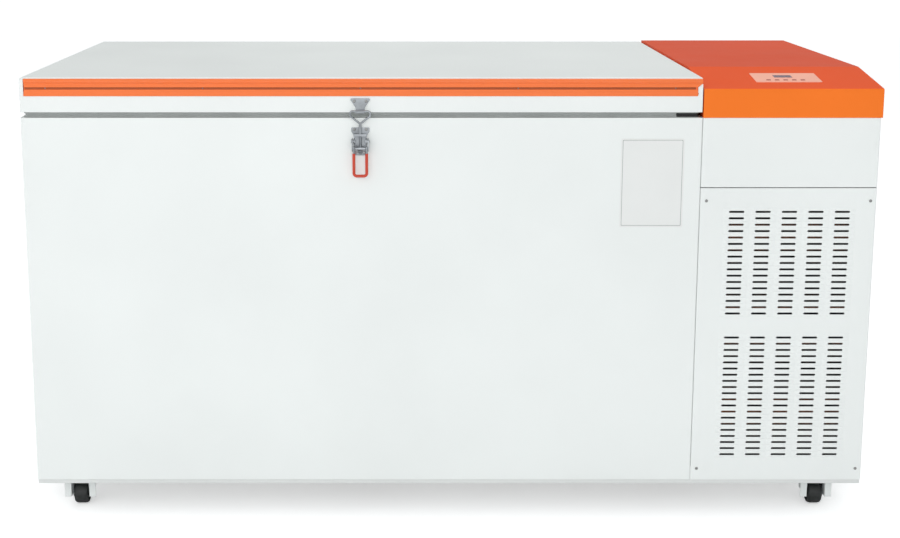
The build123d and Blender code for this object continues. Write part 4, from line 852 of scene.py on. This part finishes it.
plain_bands = [(panel_z[0], 130.85), (400.85, 439.25), (668.75, panel_z[1])]
panel = joined(
    (cell_points, cell_faces.tolist()),
    *[front_quad(block_x, band) for band in plain_bands],
    folded_edge(block_x[1], 1750.0, 1),
    folded_edge(block_x[0], 1388.0, -1),
)
SHEET_METRES = 0.0012
grille = build("slotted_grille", panel, "white_paint", "cabinet", ["grille_panel"],
               tidy=False, crease=30)
thickness = grille.modifiers.new("sheet", "SOLIDIFY")
thickness.thickness = SHEET_METRES
thickness.offset = -1.0
while grille.modifiers[0] != thickness:
    grille.modifiers.move(grille.modifiers.find("sheet"), 0)
print("slots", len(centres))

# %% [markdown]
# ## Control panel
# On the hood's slope sits a salmon membrane panel with a smoked display window and five soft
# keys. Points are given along x, up the slope and out of it, and one function turns them into
# drawing points.

# %% The slope
SLOPE_RISE, SLOPE_RUN = 26.0, 185.8
FOOT_Y, FOOT_Z = -0.8, 916.0
slant = np.arctan2(SLOPE_RISE, SLOPE_RUN)


def on_slope(points):
    """(x, up, out) to drawing points: up runs along the slope, out is its normal."""
    x, up, out = np.moveaxis(np.asarray(points, float), -1, 0)
    y = FOOT_Y + up * np.cos(slant) - out * np.sin(slant)
    z = FOOT_Z + up * np.sin(slant) + out * np.cos(slant)
    return np.stack([x, y, z], -1)


def slope_rings(x, up, radius, profile):
    """Rounded rectangles on the slope, one for each (inset, out) of the profile."""
    return on_slope(stacked(x, up, [(d, out, max(radius - d, 0.3)) for d, out in profile], 5))


print("slope in degrees", round(float(np.degrees(slant)), 2))

# %% [markdown]
# The window, its rim and the keys are rounded rectangles stacked along the slope's normal. Each
# key has a cap that stands proud of the membrane, and a flange and a stem under it.

# %% Display, keys and rims
FIRST_KEY_X, KEY_PITCH = 1533.4, 17.7
window = slope_rings((1550.0, 1587.6), (88.0, 108.0), 1.0,
                     [(0.0, -8.0), (0.0, 1.2), (0.15, 1.4), (0.5, 1.5)])
build("display_window", loft(window), "display_dark", "cabinet", ["display_lens"])
rim = slope_rings((1548.2, 1589.4), (86.2, 109.8), 2.5,
                  [(0.0, 1.2), (0.2, 1.5), (1.2, 1.5), (1.6, 1.2)])
build("window_rim", loft(rim, close_rows=True), "control_salmon", "cabinet")
for n in range(5):
    x = FIRST_KEY_X + KEY_PITCH * n
    cap = slope_rings((x - 4.5, x + 4.5), (65.4, 71.4), 1.6,
                      [(0.0, -0.3), (0.0, 1.5), (0.3, 1.9), (1.0, 2.1), (1.8, 2.1)])
    flange = slope_rings((x - 6.0, x + 6.0), (63.9, 72.9), 1.0, [(0.0, -1.3), (0.0, -0.3)])
    stem = slope_rings((x - 3.0, x + 3.0), (66.9, 69.9), 0.8, [(0.0, -4.3), (0.0, -1.3)])
    build(f"key_cap_{n + 1}", joined(loft(cap), loft(flange), loft(stem)), "key_red",
          f"button_{n + 1}", [f"button_{n + 1}"])

# %% [markdown]
# The display has three figures of seven bars. Unlit, they are darker bars on the window's face.
# A bar is a six-sided prism, and the figures are the bar's outline plus arrays of offsets.

# %% Unlit figures
bar_long = np.array([(-3.0, 0), (-2.4, 0.55), (2.4, 0.55), (3.0, 0), (2.4, -0.55), (-2.4, -0.55)])
bar_up = bar_long[:, ::-1]
figure = [(bar_long, (0, 0)), (bar_long, (0, 6.6)), (bar_long, (0, -6.6)), (bar_up, (-3.4, 3.3)),
          (bar_up, (3.4, 3.3)), (bar_up, (-3.4, -3.3)), (bar_up, (3.4, -3.3))]
bars = []
for middle in (1557.6, 1568.8, 1580.0):
    for outline, (dx, dy) in figure:
        flat = outline + (middle + dx, 98.0 + dy)
        bars.append(loft([on_slope(ring_at(flat, 1.5)), on_slope(ring_at(flat, 1.53))]))
build("unlit_figures", joined(*bars), "inlet_black", "cabinet")

# %% [markdown]
# ## Blank label
# The chest's front carries a rating label. On this part it stays blank: a thin plate with
# rounded corners and a narrow raised border.

# %% Blank label plate
label = stacked((1223.0, 1352.0), (630.0, 814.5),
                [(0.0, 0.0, 3.0), (0.0, -0.25, 3.0), (0.2, -0.35, 3.0)], axis="y")
build("blank_label", loft(label), "collar_white", "cabinet")
border = stacked((1226.0, 1349.0), (633.0, 811.5), [
    (0.0, -0.3, 2.0), (0.0, -0.45, 2.0), (1.0, -0.45, 2.0), (1.0, -0.3, 2.0),
], axis="y")
build("label_border", loft(border, close_rows=True), "gasket_grey", "cabinet")

# %% [markdown]
# ## Casters
# The wheels are moulded, with a rounded tread, a sunk web and a hub. Each is one profile turned
# round its axle. The forks are pressed: a crown and two legs that narrow to a round tip.

# %% Wheels
wheel_profile = [
    (4.06, -16.0), (8.5, -16.0), (9.0, -15.5), (9.4, -12.0), (17.5, -11.0), (18.5, -12.0),
    (19.0, -14.2), (20.5, -14.8), (22.5, -14.0), (24.3, -11.5), (25.0, -7.5), (25.0, 7.5),
    (24.3, 11.5), (22.5, 14.0), (20.5, 14.8), (19.0, 14.2), (18.5, 12.0), (17.5, 11.0),
    (9.4, 12.0), (9.0, 15.5), (8.5, 16.0), (4.06, 16.0),
]
LEFT_X, RIGHT_X = 78.0, 1671.0
FRONT_Y, REAR_Y, REAR_KING_PIN_Y = 75.0, 772.0, 750.0
AXLE_Z = 25.0
places = {"front_left": (LEFT_X, FRONT_Y), "front_right": (RIGHT_X, FRONT_Y),
          "rear_left": (LEFT_X, REAR_Y), "rear_right": (RIGHT_X, REAR_Y)}
for place, (x, y) in places.items():
    shape = turned(wheel_profile, (x, y, AXLE_Z), "x", 72, closed=True)
    build(f"{place}_tread", shape, "wheel_black", f"{place}_wheel", [f"{place}_wheel"], crease=50)

# %% [markdown]
# The front forks are fixed to the frame. The rear ones ride on their swivels, and their wheels
# trail behind the king pins.

# %% Forks and axles
def fork(x, y_wheel, y_crown, top):
    """Two legs, each a quadrilateral rounded at the axle, under a rounded crown plate."""
    half, under = 22, top - 2
    leg = rounded([(y_wheel - 11, 14.0), (y_wheel + 11, 14.0),
                   (y_crown + half, under), (y_crown - half, under)], [10.8, 10.8, 0.1, 0.1])
    legs = [prism(leg, sorted((x + s * 16.5, x + s * 18.5)), "x") for s in (-1, 1)]
    plate = rectangle((x - 18.5, x + 18.5), (y_crown - half, y_crown + half), 2.0)
    crown = prism(plate, (under, top), "z")
    spot = (x, y_wheel, AXLE_Z)
    axle = turned([(0, -18.6), (4.0, -18.6), (4.0, 18.6), (0, 18.6)], spot, "x", 28)
    head = [turned([(0, s * 19.9), (3.0, s * 19.9), (3.9, s * 19.5), (4.0, s * 18.5)],
                   spot, "x", 24) for s in (-1, 1)]
    return joined(*legs, crown, axle, *head)


front_forks = [fork(x, FRONT_Y, FRONT_Y, 69.8) for x in (LEFT_X, RIGHT_X)]
build("front_forks", joined(*front_forks), "caster_steel", "cabinet", ["front_caster_forks"],
      ease=0.4)
for side, x in (("left", LEFT_X), ("right", RIGHT_X)):
    shape = fork(x, REAR_Y, REAR_KING_PIN_Y, 64.4)
    build(f"rear_{side}_swivel_fork", shape, "caster_steel", f"rear_{side}_caster",
          [f"rear_{side}_fork"], ease=0.4)

# %% [markdown]
# ## Cold chamber
# Under the lid is a folded steel tub with round corners, a plastic throat frame, and the lid's
# own inner pan, whose middle drops into the throat. All three are rounded rectangles stacked at
# different heights. An open fault: loft fills the tub's first outline too, so a flat sheet covers
# the chamber's mouth at height 849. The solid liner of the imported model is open.

# %% Tub, throat frame and lid pan
chamber_x, chamber_y = (119.2, 1268.2), (119.2, 720.8)


def round_chamber(rows):
    """Rounded rectangles round the chamber, for rows of (inset, height, corner radius)."""
    return stacked(chamber_x, chamber_y, rows, steps=12)


bottom = [(14 - 14 * np.cos(a), 212.1 - 14 * np.sin(a), 40 - 13.9 * (1 - np.cos(a)))
          for a in np.radians(np.linspace(0, 90, 6))]
tub = round_chamber([(-110.0, 849.0, 40.0), (-4.0, 849.0, 44.0), (-1.2, 848.3, 41.2),
                     (0.0, 846.0, 40.0), *bottom])
build("steel_tub", loft(tub), "liner_steel", "cabinet", ["inner_liner"], crease=60)
throat = round_chamber([
    (3.0, 833.5, 37.0), (3.0, 855.0, 37.0), (1.5, 856.5, 38.5), (-1.0, 857.0, 41.0),
    (-116.5, 857.0, 2.0), (-117.5, 856.4, 2.0), (-118.0, 849.2, 2.0), (0.2, 849.2, 40.0),
    (0.2, 833.5, 40.0),
])
throat[4:7, :, 0] = np.clip(throat[4:7, :, 0], 1.3, 1386.1)
throat[4:7, :, 1] = np.clip(throat[4:7, :, 1], 1.3, 838.7)
build("throat_frame", loft(throat, close_rows=True), "collar_white", "cabinet", ["breaker_collar"],
      crease=50)
plug = round_chamber([
    (11.0, 869.2, 36.0), (11.0, 839.0, 36.0), (11.15, 837.4, 35.8), (11.9, 836.5, 35.0),
    (13.0, 836.3, 34.0), (60.0, 836.3, 20.0),
])
pan_flange = prism(rectangle((25.8, 1360.6), (25.1, 814.9), 2.0), (868.4, 869.4), "z")
build("lid_plug_pan", joined(loft(plug), pan_flange), "liner_steel", "lid", ["lid_inner_pan"],
      crease=60)

# %% [markdown]
# ## Behind the grille
# The condenser is a stack of thin aluminium fins on copper tubes. Fins and tubes are repeated by
# offsets. Behind it a fan with curved blades draws the air through.

# %% Condenser fins and tubes
def box_shape(x, y, z):
    """A plain box between pairs of values."""
    return prism(np.array([(x[0], y[0]), (x[1], y[0]), (x[1], y[1]), (x[0], y[1])]), z, "z")


def repeated(shape, offsets):
    """Copies of a shape, one for each offset, by adding the offsets to its points."""
    points, faces = shape
    offsets = np.asarray(offsets, float)
    every = (points[None] + offsets[:, None]).reshape(-1, 3)
    steps = np.arange(len(offsets)) * len(points)
    return every, [[i + int(s) for i in f] for s in steps for f in faces]


fin_x = 1408.0 + 4.0 * np.arange(81)
fins = repeated(box_shape((-0.15, 0.15), (30.0, 74.0), (130.0, 640.0)),
                np.column_stack([fin_x, 0 * fin_x, 0 * fin_x]))
sheets = [box_shape(x, (30.0, 74.0), (114.1, 640.0)) for x in ((1405.4, 1407.4), (1728.8, 1730.8))]
build("condenser_fins", joined(fins, *sheets), "fin_aluminium", "cabinet", ["condenser_coil"])
tube_spots = [(0.0, y, 142.5 + 25.4 * n) for n in range(20) for y in (41.0, 63.0)]
one_tube = turned([(0, 1401.0), (4.7, 1401.0), (4.7, 1735.0), (0, 1735.0)], (0, 0, 0), "x", 12)
build("condenser_tubes", repeated(one_tube, tube_spots), "copper", "cabinet")

# %% [markdown]
# A blade is a grid of radius and chord, bowed along the chord, with a front, a back and a rim.
# Its pitch falls and its chord grows towards the tip.

# %% Condenser fan
BAY_MIDDLE_X, FAN_Z = 1568.1, 385.0
ROOT, TIP, SPAN = 28.0, 147.5, 120.0


def fan_blade(turn_by, rows=9, columns=11):
    """Radius runs 28 to 147.5; the chord's pitch falls from 38 to 22 degrees as it grows."""
    r = np.linspace(ROOT, TIP, rows)[:, None]
    u = np.linspace(-0.5, 0.5, columns)[None, :]
    pitch = np.radians(38.0 - 16.0 * (r - ROOT) / SPAN)
    chord = 46.0 + 34.0 * (r - ROOT) / SPAN
    sweep = u * chord * np.cos(pitch) / r + 0.18 * (r - ROOT) / SPAN + turn_by
    rise = u * chord * np.sin(pitch) + 5.0 * (0.25 - u**2)
    x = BAY_MIDDLE_X + r * np.cos(sweep)
    z = FAN_Z + r * np.sin(sweep)
    sheet = np.stack([x, 116.0 + rise, z], -1)
    both = np.stack([sheet - (0, 0.9, 0), sheet + (0, 0.9, 0)])
    n = rows * columns
    front = grid_faces(rows, columns, close_columns=False)
    rim = list(range(columns)) + [columns * (i + 1) - 1 for i in range(1, rows)]
    rim += [n - 1 - j for j in range(1, columns)]
    rim += [columns * (rows - 1 - i) for i in range(1, rows - 1)]
    around = [[a, b, b + n, a + n] for a, b in zip(rim, rim[1:] + rim[:1])]
    faces = front + [[i + n for i in f][::-1] for f in front] + around
    return both.reshape(-1, 3), faces


hub_profile = [
    (4.05, 101.0), (20, 101.0), (27, 103.0), (30, 108), (30, 129.5), (28, 130.8), (4.05, 130.8),
]
hub = turned(hub_profile, (BAY_MIDDLE_X, 0.0, FAN_Z), "y", 40, closed=True)
blades = [fan_blade(k * 2 * np.pi / 5) for k in range(5)]
build("condenser_fan_wheel", joined(hub, *blades), "fan_grey", "fan", ["condenser_fan"], crease=45)

# %% [markdown]
# The two compressors are the same welded shell, with a seam bead round its middle, a foot plate
# and a pipe stub.

# %% Compressors
COMPRESSOR_YS = (340.0, 620.0)
shell_profile = [
    (0, 390.1), (30, 389.0), (58, 384.0), (76, 374.0), (86, 358.0), (88, 340.0), (88, 268.0),
    (90, 266.0), (90, 260.0), (88, 258.0), (88, 165.0), (82, 150.0), (60, 141.0), (0, 140.2),
]
shells = [turned(shell_profile, (BAY_MIDDLE_X, y, 0.0), "z", 56) for y in COMPRESSOR_YS]
feet = [prism(rectangle((1468.1, 1668.1), (y - 100, y + 100), 22.0), (136.1, 140.1), "z")
        for y in COMPRESSOR_YS]
stubs = [tube([(BAY_MIDDLE_X, y + 44.0, z) for z in (380.0, 392.0, 404.0)], 6.0, (0, 1, 0))
         for y in COMPRESSOR_YS]
build("compressor_shells", joined(*shells, *feet, *stubs), "machine_black", "cabinet",
      ["compressors"], crease=40)

# %% [markdown]
# ## Back of the cabinet
# The mains inlet gets its three flat pins. The three hinges' leaves get their domed screws.

# %% Inlet pins and hinge screws
INLET_X, INLET_Z = 1560.0, 170.0
PIN_WIDTH, PIN_HEIGHT = 1.0, 4.0
pins = []
for dx, dz in ((-7.0, -3.0), (7.0, -3.0), (0.0, 3.0)):
    x = (INLET_X + dx - PIN_WIDTH / 2, INLET_X + dx + PIN_WIDTH / 2)
    z = (INLET_Z + dz - PIN_HEIGHT / 2, INLET_Z + dz + PIN_HEIGHT / 2)
    pins.append(box_shape(x, (823.0, 838.0), z))
build("inlet_pins", joined(*pins), "screw_steel", "cabinet", ease=0.2)
cabinet_heads, lid_heads = [], []
for x in (190.0, 693.0, 1196.0):
    for dx in (-22.0, 0.0, 22.0):
        cabinet_heads += [pan_head((x + dx, 843.5, z), "y", 3.4, 1.2, 1) for z in (806.0, 832.0)]
        lid_heads += [pan_head((x + dx, 843.5, z), "y", 3.4, 1.2, 1) for z in (893.0, 919.0)]
build("hinge_screws_cabinet", joined(*cabinet_heads), "screw_steel", "cabinet")
build("hinge_screws_lid", joined(*lid_heads), "screw_steel", "lid")

# %% [markdown]
# ## Floor
# The floor is plain and pale. For camera rays it adds a little light of its own, so it reads as
# the white of the studio away from the freezer and still keeps the soft shadow under it.

# %% Floor
floor_mesh = bpy.data.meshes.new("studio_floor")
floor_mesh.from_pydata([(-12, -12, 0), (12, -12, 0), (12, 12, 0), (-12, 12, 0)], [], [(0, 1, 2, 3)])
floor = bpy.data.objects.new("studio_floor", floor_mesh)
scene.collection.objects.link(floor)
floor_finish = new_shader("studio_floor", (250, 250, 250), 0.9, specular=0.0)
tree = floor_finish.node_tree
shader = tree.nodes["Principled BSDF"]
dark = add_node(tree, "Emission", {"Strength": 0.0})
glow = add_node(tree, "Emission", {"Strength": 0.45})
camera_ray = add_node(tree, "LightPath").outputs["Is Camera Ray"]
clear = add_node(tree, "MixShader", {"Fac": camera_ray, 1: dark.outputs[0], 2: glow.outputs[0]})
total = add_node(tree, "AddShader", {0: shader.outputs[0], 1: clear.outputs[0]})
tree.links.new(total.outputs[0], tree.nodes["Material Output"].inputs["Surface"])
floor_mesh.materials.append(floor_finish)
print("floor laid")
